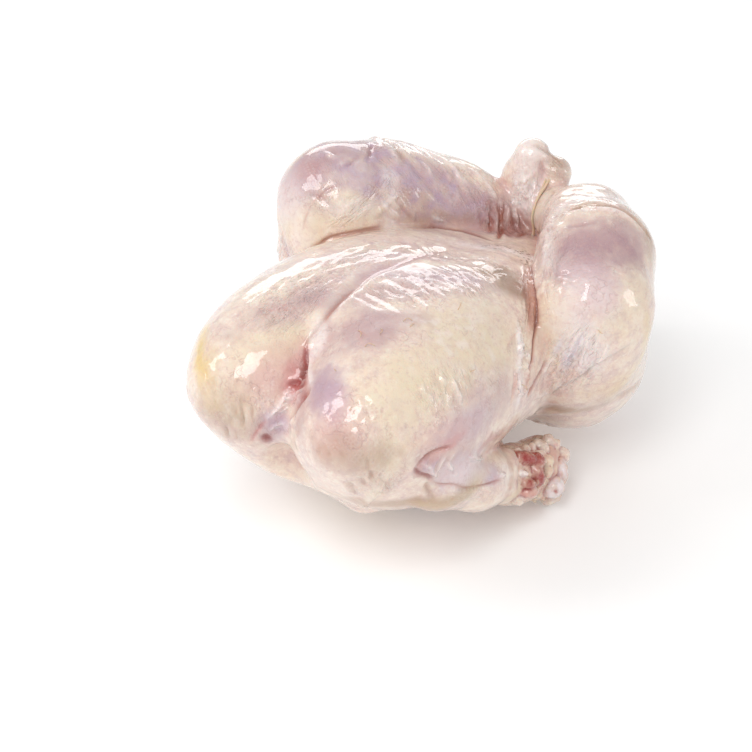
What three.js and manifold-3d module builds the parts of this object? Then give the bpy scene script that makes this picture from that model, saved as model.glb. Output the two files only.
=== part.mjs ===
// A whole raw chicken, plucked and drawn, lying on its back with its ankles tied.
//
// Units are millimetres and +Z is up. +Y runs from the neck to the tail, and +X is
// the bird's right side. The body is soft everywhere, so it is described as a field:
// egg shapes and tapering limbs that melt into each other, negative inside the flesh
// and positive outside. One closed skin is then drawn over the field.

import * as THREE from 'three';
import { mergeVertices } from 'three/addons/utils/BufferGeometryUtils.js';
import Module from 'manifold-3d';

const wasm = await Module();
wasm.setup();

// ---------------------------------------------------------------- driving sizes

const SKIN_STEP = 5.6;            // spacing of the skin's facets
const SKIN_EASING = 6;            // rounds of evening out the facets, kept on the surface
const SKIN_SOFTENING = 1;         // last rounds that let the folds round off
const REACH_LOW = [-100, -122, -12];
const REACH_HIGH = [100, 130, 132];
const FLAT_SPOT = 0.8;            // how much the back is flattened where it lies
const MIDDLE = [-0.63, 4.44];     // middle of the bird's width and length, X and Y

const BREAST = { apart: 24, along: -39, height: 70, radii: [35, 72, 34] };
// How softly the fillets melt together: in the cleft, over the crown and along the keel,
// and the places along the bird where one gives way to the next.
const CLEFT = { tight: 6, loose: 30, keel: 12, front: -92, back: -60, crown: -25, vent: 25 };
const RIGHT_KNEE = [60, 22, 83];
const LEFT_KNEE = [-60.5, 19, 94.5];
const CREASE = 8;                 // softness of the fold between leg and body
const WING_ELBOW = [53, 0.5, 14];
const WING_RADIUS = 13.7;

const TIE_THICKNESS = 1.6;
const TIE_GAP = 0.3;
const TIE_CENTRE = [8, 76, 87];
const TIE_AXIS = [-0.98, -0.04, 0.02];
const TIE_REACH = 15.5;           // widest radius of the loop, inside the crossing

const SKIN_COLOUR = 0xdcc6b4;
const TIE_COLOUR = 0xcdb98a;

// ---------------------------------------------------------------- field shapes
// Each shape is a function of (x, y, z) that gives a distance, negative inside.

function ball(x0, y0, z0, radius) {
  return (x, y, z) => Math.hypot(x - x0, y - y0, z - z0) - radius;
}

// An egg: an ellipsoid at centre, turned by degrees about X, then Y, then Z.
function egg(centre, radii, turn = [0, 0, 0]) {
  const angles = turn.map(THREE.MathUtils.degToRad);
  const back = new THREE.Matrix4().makeRotationFromEuler(new THREE.Euler(...angles, 'ZYX')).invert();
  const m = back.elements;
  const [a, b, c] = radii;
  return (x, y, z) => {
    const dx = x - centre[0];
    const dy = y - centre[1];
    const dz = z - centre[2];
    const u = m[0] * dx + m[4] * dy + m[8] * dz;
    const v = m[1] * dx + m[5] * dy + m[9] * dz;
    const w = m[2] * dx + m[6] * dy + m[10] * dz;
    const near = Math.hypot(u / a, v / b, w / c);
    const slope = Math.hypot(u / (a * a), v / (b * b), w / (c * c));
    return near * (near - 1) / Math.max(slope, 1e-6);
  };
}

// A tapering limb piece between two stations, each [x, y, z, radius].
function taper(from, to) {
  const axis = [to[0] - from[0], to[1] - from[1], to[2] - from[2]];
  const length2 = axis[0] ** 2 + axis[1] ** 2 + axis[2] ** 2;
  const drop = from[3] - to[3];
  const side2 = length2 - drop * drop;
  return (x, y, z) => {
    const px = x - from[0];
    const py = y - from[1];
    const pz = z - from[2];
    const along = px * axis[0] + py * axis[1] + pz * axis[2];
    const past = along - length2;
    const sx = px * length2 - axis[0] * along;
    const sy = py * length2 - axis[1] * along;
    const sz = pz * length2 - axis[2] * along;
    const away2 = sx * sx + sy * sy + sz * sz;
    const edge = Math.sign(drop) * drop * drop * away2;
    if (Math.sign(past) * side2 * past * past * length2 > edge) {
      return Math.sqrt(away2 + past * past * length2) / length2 - to[3];
    }
    if (Math.sign(along) * side2 * along * along * length2 < edge) {
      return Math.sqrt(away2 + along * along * length2) / length2 - from[3];
    }
    return (Math.sqrt(away2 * side2 / length2) + along * drop) / length2 - from[3];
  };
}

// Joins two distances, melting them together over the given softness.
function melt(a, b, softness) {
  const overlap = Math.max(softness - Math.abs(a - b), 0) / softness;
  return Math.min(a, b) - overlap * overlap * softness / 4;
}

function join(softness, ...shapes) {
  return (x, y, z) => shapes.reduce((d, shape) => melt(d, shape(x, y, z), softness), Infinity);
}

function hollow(softness, body, tool) {
  return (x, y, z) => -melt(-body(x, y, z), tool(x, y, z), softness);
}

function limb(softness, ...stations) {
  const pieces = [];
  for (let i = 1; i < stations.length; i++) {
    pieces.push(taper(stations[i - 1], stations[i]));
  }
  return join(softness, ...pieces);
}

// A smooth step from 0 at low to 1 at high.
const ramp = (value, low, high) => THREE.MathUtils.smoothstep(value, low, high);

// ---------------------------------------------------------------- the bird

// Rib cage, back, rump, shoulders and the base of the neck.
function trunk() {
  const ribs = egg([0, 10, 54], [52, 78, 32], [-6, 0, 0]);
  const back = egg([0, 20, 36], [27, 68, 37]);
  const rump = egg([0, 66, 36], [40, 44, 34]);
  const shoulders = [1, -1].map((side) => limb(10, [side * 18, -46, 48, 25], [side * 16, -34, 26, 22]));
  const neck = egg([0, -64, 48], [37, 25, 22], [-18, 0, 0]);
  return join(18, join(20, ribs, back, rump), ...shoulders, neck);
}

// One fillet: full and round at the neck end, flat and narrow towards the vent.
function fillet(side) {
  const { apart, along, height, radii } = BREAST;
  const full = egg([side * apart, along, height], radii, [-3, 0, side * 4]);
  const thin = egg([side * 15, 32, 54], [26, 54, 26], [-15, 0, side * 12]);
  return join(18, full, thin);
}

// The fillets meet over the keel: in a deep cleft in front, softly over the crown, and
// again in a shallow groove towards the vent.
function breast() {
  const right = fillet(1);
  const left = fillet(-1);
  return (x, y, z) => {
    const opening = ramp(y, CLEFT.front, CLEFT.back);
    const closing = ramp(y, CLEFT.crown, CLEFT.vent);
    const crown = CLEFT.tight + (CLEFT.loose - CLEFT.tight) * opening;
    const softness = crown - (CLEFT.loose - CLEFT.keel) * closing;
    return melt(right(x, y, z), left(x, y, z), softness);
  };
}

function rightLeg() {
  const [x, y, z] = RIGHT_KNEE;
  const thigh = limb(20, [32, 68, 42, 26], [41.5, 39.5, 47, 28], [x - 5, y - 1.5, z - 17.5, 26.5]);
  const shin = limb(8, [x, y, z, 25], [49.5, 43, 91.5, 22.2], [37, 59, 94, 17], [10, 76, 88, 10]);
  return join(10, thigh, shin);
}

function leftLeg() {
  const [x, y, z] = LEFT_KNEE;
  const thigh = limb(20, [-32, 68, 42, 26], [-42, 40, 48, 28], [x + 2.5, y - 1, z - 24.5, 27]);
  const shin = limb(14, [x, y, z, 26.2], [-49.5, 42, 90, 22], [-30, 60, 83, 18.5], [-6, 74, 77, 11.5]);
  return join(10, thigh, shin);
}

// The right ankle crosses on top, and its joint stands up as a two-lobed knob.
function ankleKnob() {
  const inner = limb(6, [0, 78, 82, 9], [-6, 80, 98, 8.5], [-3, 80, 108, 8]);
  const outer = limb(6, [4, 80, 92, 8], [7, 83, 102, 7]);
  return join(5, inner, outer);
}

// The wing is cut off at the elbow, so it ends in a blunt face with the joint's two heads.
function wing(side) {
  const [x, y, z] = WING_ELBOW;
  const arm = limb(8, [side * 46, -67, 45.5, 13.5], [side * 48.5, -44, 32.5, 11.5],
    [side * 50.5, -20, 21, 10.8], [side * x, y, z, WING_RADIUS]);
  const facing = new THREE.Vector3(side * 0.74, 0.665, -0.1);
  const face = (px, py, pz) => -(
    (px - side * (x + 6)) * facing.x + (py - y - 2.5) * facing.y + (pz - z) * facing.z);
  const upperHead = ball(side * (x + 4), y + 2, z + 5, 5.5);
  const lowerHead = ball(side * (x + 5), y + 4, z - 4, 6);
  return join(3, hollow(4, arm, face), upperHead, lowerHead);
}

// The breast lies on the trunk, and its skin runs down over the neck in one sweep.
function dressedTrunk() {
  const inner = trunk();
  const outer = breast();
  return (x, y, z) => melt(inner(x, y, z), outer(x, y, z), 22 + 14 * ramp(-y, 40, 70));
}

function bird() {
  const body = dressedTrunk();
  const tail = join(8, egg([0, 100, 37], [17, 16, 12]), egg([0, 111, 40], [10, 8, 9]));
  const neckFlap = egg([17, -72, 43], [11, 6, 20], [-18, 0, 20]);
  const torso = join(6, join(5, join(14, body, tail), neckFlap), wing(1), wing(-1));
  const legs = [rightLeg(), leftLeg()];
  const knob = ankleKnob();
  const vent = egg([0, 104, 60], [13, 12, 9]);
  const neckOpening = egg([-2, -97, 44], [9, 9, 13]);
  const limbs = (x, y, z) => {
    // The thighs melt into the rump low down, and lie against the body everywhere else.
    const softness = CREASE + 9 * ramp(y, 40, 75) * (1 - ramp(z, 50, 80));
    const legged = legs.reduce((d, leg) => melt(d, leg(x, y, z), softness), torso(x, y, z));
    return melt(legged, knob(x, y, z), 4);
  };
  return hollow(6, hollow(6, limbs, vent), neckOpening);
}

// ---------------------------------------------------------------- drawing the skin

// The field's slope at a point, by small steps each way.
function slopeAt(field, [x, y, z]) {
  const e = 0.05;
  return [
    (field(x + e, y, z) - field(x - e, y, z)) / (2 * e),
    (field(x, y + e, z) - field(x, y - e, z)) / (2 * e),
    (field(x, y, z + e) - field(x, y, z - e)) / (2 * e),
  ];
}

// Moves a point straight onto the surface.
function settle(field, point) {
  for (let round = 0; round < 3; round++) {
    const value = field(...point);
    const slope = slopeAt(field, point);
    const steep = Math.max(slope[0] ** 2 + slope[1] ** 2 + slope[2] ** 2, 0.1);
    for (let i = 0; i < 3; i++) {
      point[i] -= THREE.MathUtils.clamp(value * slope[i] / steep, -1, 1);
    }
  }
}

// Groups a grid cell's corners into sheets of skin. Corners of one kind that share an edge
// belong together, and outer corners also belong together across a face.
function cornerGroups(inside) {
  const group = inside.map((_, corner) => corner);
  const differing = (a, b) => [1, 2, 4].filter((bit) => (a ^ b) & bit).length;
  for (let a = 0; a < 8; a++) {
    for (let b = a + 1; b < 8; b++) {
      const reach = inside[a] ? 1 : 2;
      if (inside[a] !== inside[b] || differing(a, b) > reach) continue;
      const [from, to] = [group[b], group[a]];
      group.forEach((name, corner) => { if (name === from) group[corner] = to; });
    }
  }
  return group;
}

// One vertex for each sheet in each grid cell that the surface crosses, and one four-sided
// face round each grid edge that it crosses, so the skin is closed everywhere.
function drawSkin(field, low, high, step) {
  const count = low.map((start, i) => Math.ceil((high[i] - start) / step) + 1);
  const stride = [1, count[0], count[0] * count[1]];
  const total = stride[2] * count[2];
  const place = (index) => low.map((start, i) => start + step * (Math.floor(index / stride[i]) % count[i]));
  const value = Float64Array.from({ length: total }, (_, index) => field(...place(index)));

  const bits = [1, 2, 4];
  const corners = [0, 1, 2, 3, 4, 5, 6, 7];
  const jump = corners.map((corner) => bits.reduce((sum, bit, i) => sum + (corner & bit ? stride[i] : 0), 0));
  const crossedEdge = (cell, corner, axis) => (cell * 8 + corner) * 3 + axis;
  const vertexOn = new Map();
  const points = [];
  for (let cell = 0; cell < total - jump[7]; cell++) {
    const inside = corners.map((corner) => value[cell + jump[corner]] < 0);
    if (inside.every((is) => is === inside[0])) continue;
    const group = cornerGroups(inside);
    const sheets = new Map();
    for (const corner of corners) {
      bits.forEach((bit, axis) => {
        const far = corner | bit;
        if (far === corner || inside[corner] === inside[far]) return;
        const share = value[cell + jump[corner]] / (value[cell + jump[corner]] - value[cell + jump[far]]);
        const crossing = bits.map((b, i) => (corner & b ? 1 : 0) + (i === axis ? share : 0));
        const name = inside[corner] ? group[corner] * 8 + group[far] : group[far] * 8 + group[corner];
        if (!sheets.has(name)) sheets.set(name, { edges: [], crossings: [] });
        sheets.get(name).edges.push(crossedEdge(cell, corner, axis));
        sheets.get(name).crossings.push(crossing);
      });
    }
    for (const { edges, crossings } of sheets.values()) {
      const mean = (i) => crossings.reduce((sum, crossing) => sum + crossing[i], 0) / crossings.length;
      edges.forEach((edge) => vertexOn.set(edge, points.length));
      points.push(place(cell).map((start, i) => start + step * mean(i)));
    }
  }

  const quads = [];
  for (let index = stride[2]; index < total - stride[2]; index++) {
    for (let axis = 0; axis < 3; axis++) {
      const inside = value[index] < 0;
      if (inside === (value[index + stride[axis]] < 0)) continue;
      const b = (axis + 1) % 3;
      const c = (axis + 2) % 3;
      const around = [[1, 1], [0, 1], [0, 0], [1, 0]].map(([back, under]) => {
        const cell = index - back * stride[b] - under * stride[c];
        return vertexOn.get(crossedEdge(cell, back * bits[b] + under * bits[c], axis));
      });
      quads.push(inside ? around : around.reverse());
    }
  }
  return { points, quads };
}

// Evens out the facets: each vertex moves towards its neighbours, then back onto the surface,
// except in the last rounds.
function easeSkin(field, { points, quads }, easing, softening) {
  points.forEach((point) => settle(field, point));
  for (let round = 0; round < easing + softening; round++) {
    const sums = points.map(() => [0, 0, 0, 0]);
    for (const quad of quads) {
      quad.forEach((vertex, i) => {
        const next = points[quad[(i + 1) % 4]];
        const sum = sums[vertex];
        for (let k = 0; k < 3; k++) sum[k] += next[k];
        sum[3]++;
      });
    }
    points.forEach((point, vertex) => {
      const sum = sums[vertex];
      for (let k = 0; k < 3; k++) point[k] += 0.5 * (sum[k] / sum[3] - point[k]);
      if (round < easing) settle(field, point);
    });
  }
}

function skinGeometry(field) {
  const skin = drawSkin(field, REACH_LOW, REACH_HIGH, SKIN_STEP);
  easeSkin(field, skin, SKIN_EASING, SKIN_SOFTENING);
  const corner = (i) => new THREE.Vector3(...skin.points[i]);
  const triangles = skin.quads.flatMap(([a, b, c, d]) => {
    const shortAC = corner(a).distanceTo(corner(c)) <= corner(b).distanceTo(corner(d));
    return shortAC ? [a, b, c, a, c, d] : [a, b, d, b, c, d];
  });
  const geometry = new THREE.BufferGeometry();
  geometry.setAttribute('position', new THREE.Float32BufferAttribute(skin.points.flat(), 3));
  geometry.setIndex(triangles);
  return geometry;
}

// ---------------------------------------------------------------- solids

function toSolid(geometry) {
  const bare = geometry.clone();
  bare.deleteAttribute('normal');
  bare.deleteAttribute('uv');
  const merged = mergeVertices(bare, 1e-4);
  return new wasm.Manifold(new wasm.Mesh({
    numProp: 3,
    vertProperties: new Float32Array(merged.attributes.position.array),
    triVerts: new Uint32Array(merged.index.array),
  }));
}

function toGeometry(solid) {
  const mesh = solid.getMesh();
  const geometry = new THREE.BufferGeometry();
  geometry.setAttribute('position', new THREE.BufferAttribute(mesh.vertProperties, 3));
  geometry.setIndex(new THREE.BufferAttribute(mesh.triVerts, 1));
  geometry.computeVertexNormals();
  return geometry;
}

// The tie's path: a loop in one plane that lies on the skin round the crossed ankles.
function tiePath(field) {
  const turns = 28;
  const axis = new THREE.Vector3(...TIE_AXIS).normalize();
  const across = new THREE.Vector3().crossVectors(axis, new THREE.Vector3(0, 0, 1)).normalize();
  const upward = new THREE.Vector3().crossVectors(across, axis);
  const points = [];
  for (let i = 0; i < turns; i++) {
    const angle = 2 * Math.PI * i / turns;
    const ray = across.clone().multiplyScalar(Math.cos(angle)).addScaledVector(upward, Math.sin(angle));
    const point = new THREE.Vector3();
    for (let radius = 6; radius <= TIE_REACH; radius += 0.1) {
      point.set(...TIE_CENTRE).addScaledVector(ray, radius);
      if (field(point.x, point.y, point.z) > TIE_THICKNESS / 2) break;
    }
    points.push(point);
  }
  return new THREE.CatmullRomCurve3(points, true);
}

const tieGeometry = (path, thickness) => new THREE.TubeGeometry(path, 56, thickness / 2, 6, true);

// ---------------------------------------------------------------- the model

const field = bird();
const path = tiePath(field);

const floorDepth = 20;
const floor = new THREE.BoxGeometry(400, 400, floorDepth).translate(0, 0, FLAT_SPOT - floorDepth / 2);
const tieChannel = tieGeometry(path, TIE_THICKNESS + 2 * TIE_GAP);
const flesh = toSolid(skinGeometry(field)).subtract(toSolid(floor)).subtract(toSolid(tieChannel));

const chicken = new THREE.Mesh(
  toGeometry(flesh),
  new THREE.MeshStandardMaterial({ color: SKIN_COLOUR, roughness: 0.4, metalness: 0 }),
);
chicken.name = 'chicken';

const tie = new THREE.Mesh(
  tieGeometry(path, TIE_THICKNESS),
  new THREE.MeshStandardMaterial({ color: TIE_COLOUR, roughness: 0.55, metalness: 0 }),
);
tie.name = 'ankle_tie';

const model = new THREE.Group();
model.add(chicken, tie);
model.position.set(-MIDDLE[0], -MIDDLE[1], -FLAT_SPOT);

export default model;
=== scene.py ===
# %% [markdown]
# # A whole raw chicken, plucked and tied at the ankles
#
# The bird lies on its back with its breast up. Its CAD solids carry the size, the mass and the
# collision, and stay hidden here behind finer pieces: the skin, the two cut wing ends, the
# elastic tie and a few hairs. This lesson draws a soft, closed, wet skin from a few egg shapes,
# folds it, and colours it.

# %% Load the frame
import bpy
import numpy as np
from mathutils import Matrix, Vector
from mathutils.bvhtree import BVHTree


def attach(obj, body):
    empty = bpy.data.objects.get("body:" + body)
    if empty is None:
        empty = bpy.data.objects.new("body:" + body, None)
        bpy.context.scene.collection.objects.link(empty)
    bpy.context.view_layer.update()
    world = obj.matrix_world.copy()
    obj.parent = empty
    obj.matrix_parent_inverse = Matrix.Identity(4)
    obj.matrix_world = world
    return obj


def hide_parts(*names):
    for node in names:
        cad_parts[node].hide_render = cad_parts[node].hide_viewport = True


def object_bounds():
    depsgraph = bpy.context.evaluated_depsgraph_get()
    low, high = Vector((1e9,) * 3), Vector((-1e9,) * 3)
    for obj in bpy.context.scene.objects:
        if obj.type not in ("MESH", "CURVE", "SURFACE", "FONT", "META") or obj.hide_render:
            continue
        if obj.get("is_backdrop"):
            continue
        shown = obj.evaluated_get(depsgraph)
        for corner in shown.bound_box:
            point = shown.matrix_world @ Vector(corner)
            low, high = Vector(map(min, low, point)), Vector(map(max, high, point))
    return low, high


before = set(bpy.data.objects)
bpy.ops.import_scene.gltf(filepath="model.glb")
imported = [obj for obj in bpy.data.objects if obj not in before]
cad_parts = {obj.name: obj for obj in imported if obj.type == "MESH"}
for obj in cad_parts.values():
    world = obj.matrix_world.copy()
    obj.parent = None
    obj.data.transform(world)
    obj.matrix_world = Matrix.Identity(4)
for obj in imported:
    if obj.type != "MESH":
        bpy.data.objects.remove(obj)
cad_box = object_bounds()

print(len(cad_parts), "solids, box in metres:",
      [[round(v, 4) for v in corner] for corner in cad_box])

# %% [markdown]
# ## The camera
#
# The shapes below are written in millimetres in the bird's own field frame, where x = 0 is the
# breastbone. The frame of the finished part has its origin under the middle of the bird, so one
# offset leads from one to the other. The camera looks down on the near shoulder with a long
# lens, because a long lens keeps the breast and the legs in proportion.

# %% Set up the camera
MM = 0.001
FIELD_ORIGIN = np.array([-0.63, 4.44, 0.8])     # the part's origin, in the field frame
IMAGE_SIDE = 752
LENS = 90.0
SENSOR = 36.0
CAMERA_AZIMUTH = np.radians(35.0)
CAMERA_HEIGHT = np.radians(31.5)
CAMERA_DISTANCE = 800.0
FIELD_ORIGIN_PIXEL = (430.0, 455.0)             # where the field's zero point shows

FOCAL = LENS / SENSOR * IMAGE_SIDE
BACK = np.array([np.sin(CAMERA_AZIMUTH) * np.cos(CAMERA_HEIGHT),
                 -np.cos(CAMERA_AZIMUTH) * np.cos(CAMERA_HEIGHT),
                 np.sin(CAMERA_HEIGHT)])
RIGHT = np.array([np.cos(CAMERA_AZIMUTH), np.sin(CAMERA_AZIMUTH), 0.0])
UP = np.cross(BACK, RIGHT)
aside = (FIELD_ORIGIN_PIXEL[0] - IMAGE_SIDE / 2) / FOCAL * CAMERA_DISTANCE
above = (FIELD_ORIGIN_PIXEL[1] - IMAGE_SIDE / 2) / FOCAL * CAMERA_DISTANCE
EYE = BACK * CAMERA_DISTANCE - RIGHT * aside + UP * above


def to_part(points):
    """Field millimetres to the part's metres."""
    return (np.asarray(points) - FIELD_ORIGIN) * MM


scene = bpy.context.scene
camera_data = bpy.data.cameras.new("camera")
camera_data.lens = LENS
camera_data.sensor_width = SENSOR
camera_data.clip_start = 0.01
camera = bpy.data.objects.new("camera", camera_data)
turn = Matrix((RIGHT, UP, BACK)).transposed().to_4x4()
camera.matrix_world = Matrix.Translation(to_part(EYE)) @ turn
scene.collection.objects.link(camera)
scene.camera = camera
scene.view_settings.view_transform = "Standard"
print("camera at", [round(v, 3) for v in camera.location])

# %% [markdown]
# ## A field instead of a cage
#
# A plucked bird has no hard edges. It could be sculpted by hand, or modelled from a cage of
# quads and a subdivision surface, but its forms all melt into each other. A field does that by
# itself: each shape gives every point in space a distance, negative inside and positive
# outside, and a soft minimum melts two such shapes together.

# %% Shapes that give a distance


def dots(*values):
    """Coordinates in single precision, which is quick and fine enough."""
    return np.array(values, dtype=np.float32)


def turned(degrees):
    """A rotation about X, then Y, then Z."""
    x, y, z = np.radians(degrees)
    about_x = np.array([[1, 0, 0], [0, np.cos(x), -np.sin(x)], [0, np.sin(x), np.cos(x)]])
    about_y = np.array([[np.cos(y), 0, np.sin(y)], [0, 1, 0], [-np.sin(y), 0, np.cos(y)]])
    about_z = np.array([[np.cos(z), -np.sin(z), 0], [np.sin(z), np.cos(z), 0], [0, 0, 1]])
    return (about_z @ about_y @ about_x).astype(np.float32)


def ball(centre, radius):
    """A sphere's distance."""
    return lambda p: np.linalg.norm(p - dots(*centre), axis=1) - radius


def egg(centre, radii, turn=(0, 0, 0)):
    """An ellipsoid, turned by degrees or by a matrix."""
    middle, size = dots(*centre), dots(*radii)
    rotation = turned(turn) if len(np.shape(turn)) == 1 else turn

    def distance(p):
        q = (p - middle) @ rotation
        near = np.sqrt(((q / size) ** 2).sum(axis=1))
        slope = np.sqrt(((q / size ** 2) ** 2).sum(axis=1))
        return near * (near - 1) / np.maximum(slope, 1e-6)
    return distance


def taper(start, end):
    """A limb piece between two stations, each (x, y, z, radius)."""
    from_, axis = dots(*start[:3]), dots(*end[:3]) - dots(*start[:3])
    length2, drop = float(axis @ axis), start[3] - end[3]
    side2 = length2 - drop * drop

    def distance(p):
        q = p - from_
        along = q @ axis
        past = along - length2
        away2 = ((q * length2 - along[:, None] * axis) ** 2).sum(axis=1)
        along2, past2 = along * along * length2, past * past * length2
        edge = np.sign(drop) * drop * drop * away2
        d = (np.sqrt(away2 * side2 / length2) + along * drop) / length2 - start[3]
        d = np.where(np.sign(along) * side2 * along2 < edge,
                     np.sqrt(away2 + along2) / length2 - start[3], d)
        return np.where(np.sign(past) * side2 * past2 > edge,
                        np.sqrt(away2 + past2) / length2 - end[3], d)
    return distance


print("2 mm over a ball:", float(ball((0, 0, 0), 30)(dots(0, 0, 32)[None])[0]))

# %% Ways to join them


def melt(a, b, softness):
    """The smaller distance, with the crease between the two filled."""
    overlap = np.maximum(softness - np.abs(a - b), 0) / softness
    return np.minimum(a, b) - overlap * overlap * softness / 4


def join(softness, *shapes):
    """Shapes that all melt into each other."""
    def distance(p):
        total = shapes[0](p)
        for shape in shapes[1:]:
            total = melt(total, shape(p), softness)
        return total
    return distance


def hollow(softness, body, tool):
    """The body, with the tool's shape sunk into it."""
    return lambda p: -melt(-body(p), tool(p), softness)


def limb(softness, *stations):
    """A chain of tapers through stations (x, y, z, radius)."""
    return join(softness, *(taper(a, b) for a, b in zip(stations, stations[1:])))


def ramp(value, low, high):
    """A smooth step from 0 at low to 1 at high, which may run downwards too."""
    t = np.clip((value - low) / (high - low), 0, 1)
    return t * t * (3 - 2 * t)


print("1 mm over two surfaces, melted:", float(melt(np.float32(1), np.float32(1), 4)))

# %% [markdown]
# ## The bird's forms
#
# These are the same eggs and limbs as in the solid bird, so that the skin lies where the solid
# is. Only the folds are tighter here, because the finer skin can follow them: the fold between
# leg and breast is the strongest line on the bird.

# %% The trunk and the breast
CREASE = 3.5           # softness of the fold between leg and body
CLEFT = {              # softness of the cleft between the fillets, and the y where it changes
    "tight": 5, "loose": 26, "keel": 9,
    "front": -92, "back": -60, "crown": -25, "vent": 25,
}


def trunk():
    ribs = egg((0, 10, 54), (52, 78, 32), (-6, 0, 0))
    back = egg((0, 20, 36), (27, 68, 37))
    rump = egg((0, 66, 36), (40, 44, 34))
    shoulders = [limb(10, (s * 18, -46, 48, 25), (s * 16, -34, 26, 22)) for s in (1, -1)]
    neck = egg((0, -64, 48), (37, 25, 22), (-18, 0, 0))
    return join(18, join(20, ribs, back, rump), *shoulders, neck)


def fillet(side):
    full = egg((side * 24, -39, 70), (35, 72, 34), (-3, 0, side * 4))
    thin = egg((side * 15, 32, 54), (26, 54, 26), (-15, 0, side * 12))
    return join(18, full, thin)


def breast():
    right, left, c = fillet(1), fillet(-1), CLEFT

    def distance(p):
        opening = ramp(p[:, 1], c["front"], c["back"])
        closing = ramp(p[:, 1], c["crown"], c["vent"])
        softness = c["tight"] + (c["loose"] - c["tight"]) * opening
        return melt(right(p), left(p), softness - (c["loose"] - c["keel"]) * closing)
    return distance


print("inside the trunk:", round(float(trunk()(dots(0, 20, 40)[None])[0]), 1), "mm")

# %% The legs, the ankle and the wings
RIGHT_KNEE = (60, 22, 83)
LEFT_KNEE = (-60.5, 19, 94.5)
WING_ELBOW = (53, 0.5, 14)


def right_leg():
    x, y, z = RIGHT_KNEE
    thigh = limb(20, (32, 68, 42, 26), (41.5, 39.5, 47, 28), (x - 5, y - 1.5, z - 17.5, 26.5))
    shin = limb(8, (x, y, z, 25), (49.5, 43, 91.5, 22.2), (37, 59, 94, 17), (10, 76, 88, 10))
    return join(10, thigh, shin)


def left_leg():
    x, y, z = LEFT_KNEE
    thigh = limb(20, (-32, 68, 42, 26), (-42, 40, 48, 28), (x + 2.5, y - 1, z - 24.5, 27))
    shin = limb(14, (x, y, z, 26.2), (-49.5, 42, 90, 22), (-30, 60, 83, 18.5),
                (-6, 74, 77, 11.5))
    return join(10, thigh, shin)


def ankle_knob():
    inner = limb(6, (0, 78, 82, 9), (-6, 80, 98, 8.5), (-3, 80, 108, 8))
    outer = limb(6, (4, 80, 92, 8), (7, 83, 102, 7))
    return join(4, inner, outer)


def wing(side):
    x, y, z = WING_ELBOW
    arm = limb(8, (side * 46, -67, 45.5, 13.5), (side * 48.5, -44, 32.5, 11.5),
               (side * 50.5, -20, 21, 10.8), (side * x, y, z, 13.7))
    facing = dots(side * 0.74, 0.665, -0.1)
    edge = dots(side * (x + 6), y + 2.5, z)
    heads = [ball((side * (x + 4), y + 2, z + 5), 5.5), ball((side * (x + 5), y + 4, z - 4), 6)]
    return join(3, hollow(3, arm, lambda p: -((p - edge) @ facing)), *heads)


print("inside the near knee:", round(float(right_leg()(dots(*RIGHT_KNEE)[None])[0]), 1), "mm")

# %% The whole bird


def dressed_trunk():
    """The breast lies on the trunk, and its skin runs down over the neck in one sweep."""
    inner, outer = trunk(), breast()
    return lambda p: melt(inner(p), outer(p), 22 + 14 * ramp(-p[:, 1], 40, 70))


def bird():
    body = dressed_trunk()
    tail = join(8, egg((0, 100, 37), (17, 16, 12)), egg((0, 111, 40), (10, 8, 9)))
    neck_flap = egg((17, -72, 43), (11, 6, 20), (-18, 0, 20))
    torso = join(5, join(14, body, tail), neck_flap)
    winged = join(3, torso, wing(1), wing(-1))
    legs = (right_leg(), left_leg())
    knob = ankle_knob()
    vent = egg((0, 104, 60), (13, 12, 9))
    neck_opening = egg((-2, -97, 44), (9, 9, 13))

    def limbs(p):
        total = winged(p)
        softness = CREASE + 11 * ramp(p[:, 1], 40, 75) * (1 - ramp(p[:, 2], 50, 80))
        for leg in legs:
            total = melt(total, leg(p), softness)
        return melt(total, knob(p), 4)
    return hollow(5, hollow(5, limbs, vent), neck_opening)


field = bird()
print("inside the breast:", round(float(field(dots(0, 0, 60)[None])[0]), 1), "mm")

# %% [markdown]
# ## A closed skin over the field
#
# Blender could turn a field into a mesh through metaballs or a volume, but then there is no
# control over where the faces go. A surface net is short in numpy: every grid cell that the
# skin crosses gets one vertex, and every grid edge that it crosses gets one four-sided face.

# %% Sample the field on a grid
STEP = 2.6
COARSE = 3             # the field is first read at every third grid point
NEAR = 7.0             # and read exactly only this close to the skin
LOW = np.array([-96.0, -118.0, -10.0])
HIGH = np.array([96.0, 126.0, 128.0])


def widen(values, axis, times):
    """Linear steps between the samples along one axis."""
    count = values.shape[axis]
    place = np.arange((count - 1) * times + 1) / times
    before = np.minimum(place.astype(int), count - 2)
    share = (place - before).astype(np.float32)
    shape = [1, 1, 1]
    shape[axis] = -1
    share = share.reshape(shape)
    return np.take(values, before, axis) * (1 - share) + np.take(values, before + 1, axis) * share


def grid_points(counts, spacing, low):
    """Every corner of a grid, from its lowest corner on."""
    axes = [low[i] + spacing * np.arange(counts[i]) for i in range(3)]
    return np.stack(np.meshgrid(*axes, indexing="ij"), axis=-1).astype(np.float32)


coarse_counts = np.ceil((HIGH - LOW) / (STEP * COARSE)).astype(int) + 1
coarse_points = grid_points(coarse_counts, STEP * COARSE, LOW)
value = field(coarse_points.reshape(-1, 3)).reshape(coarse_counts)
for axis in range(3):
    value = widen(value, axis, COARSE)
fine_points = grid_points(value.shape, STEP, LOW)
near = np.abs(value) < NEAR
value[near] = field(fine_points[near])
print("grid", value.shape, "read exactly at", int(near.sum()), "points")

# %% Draw the net


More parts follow.
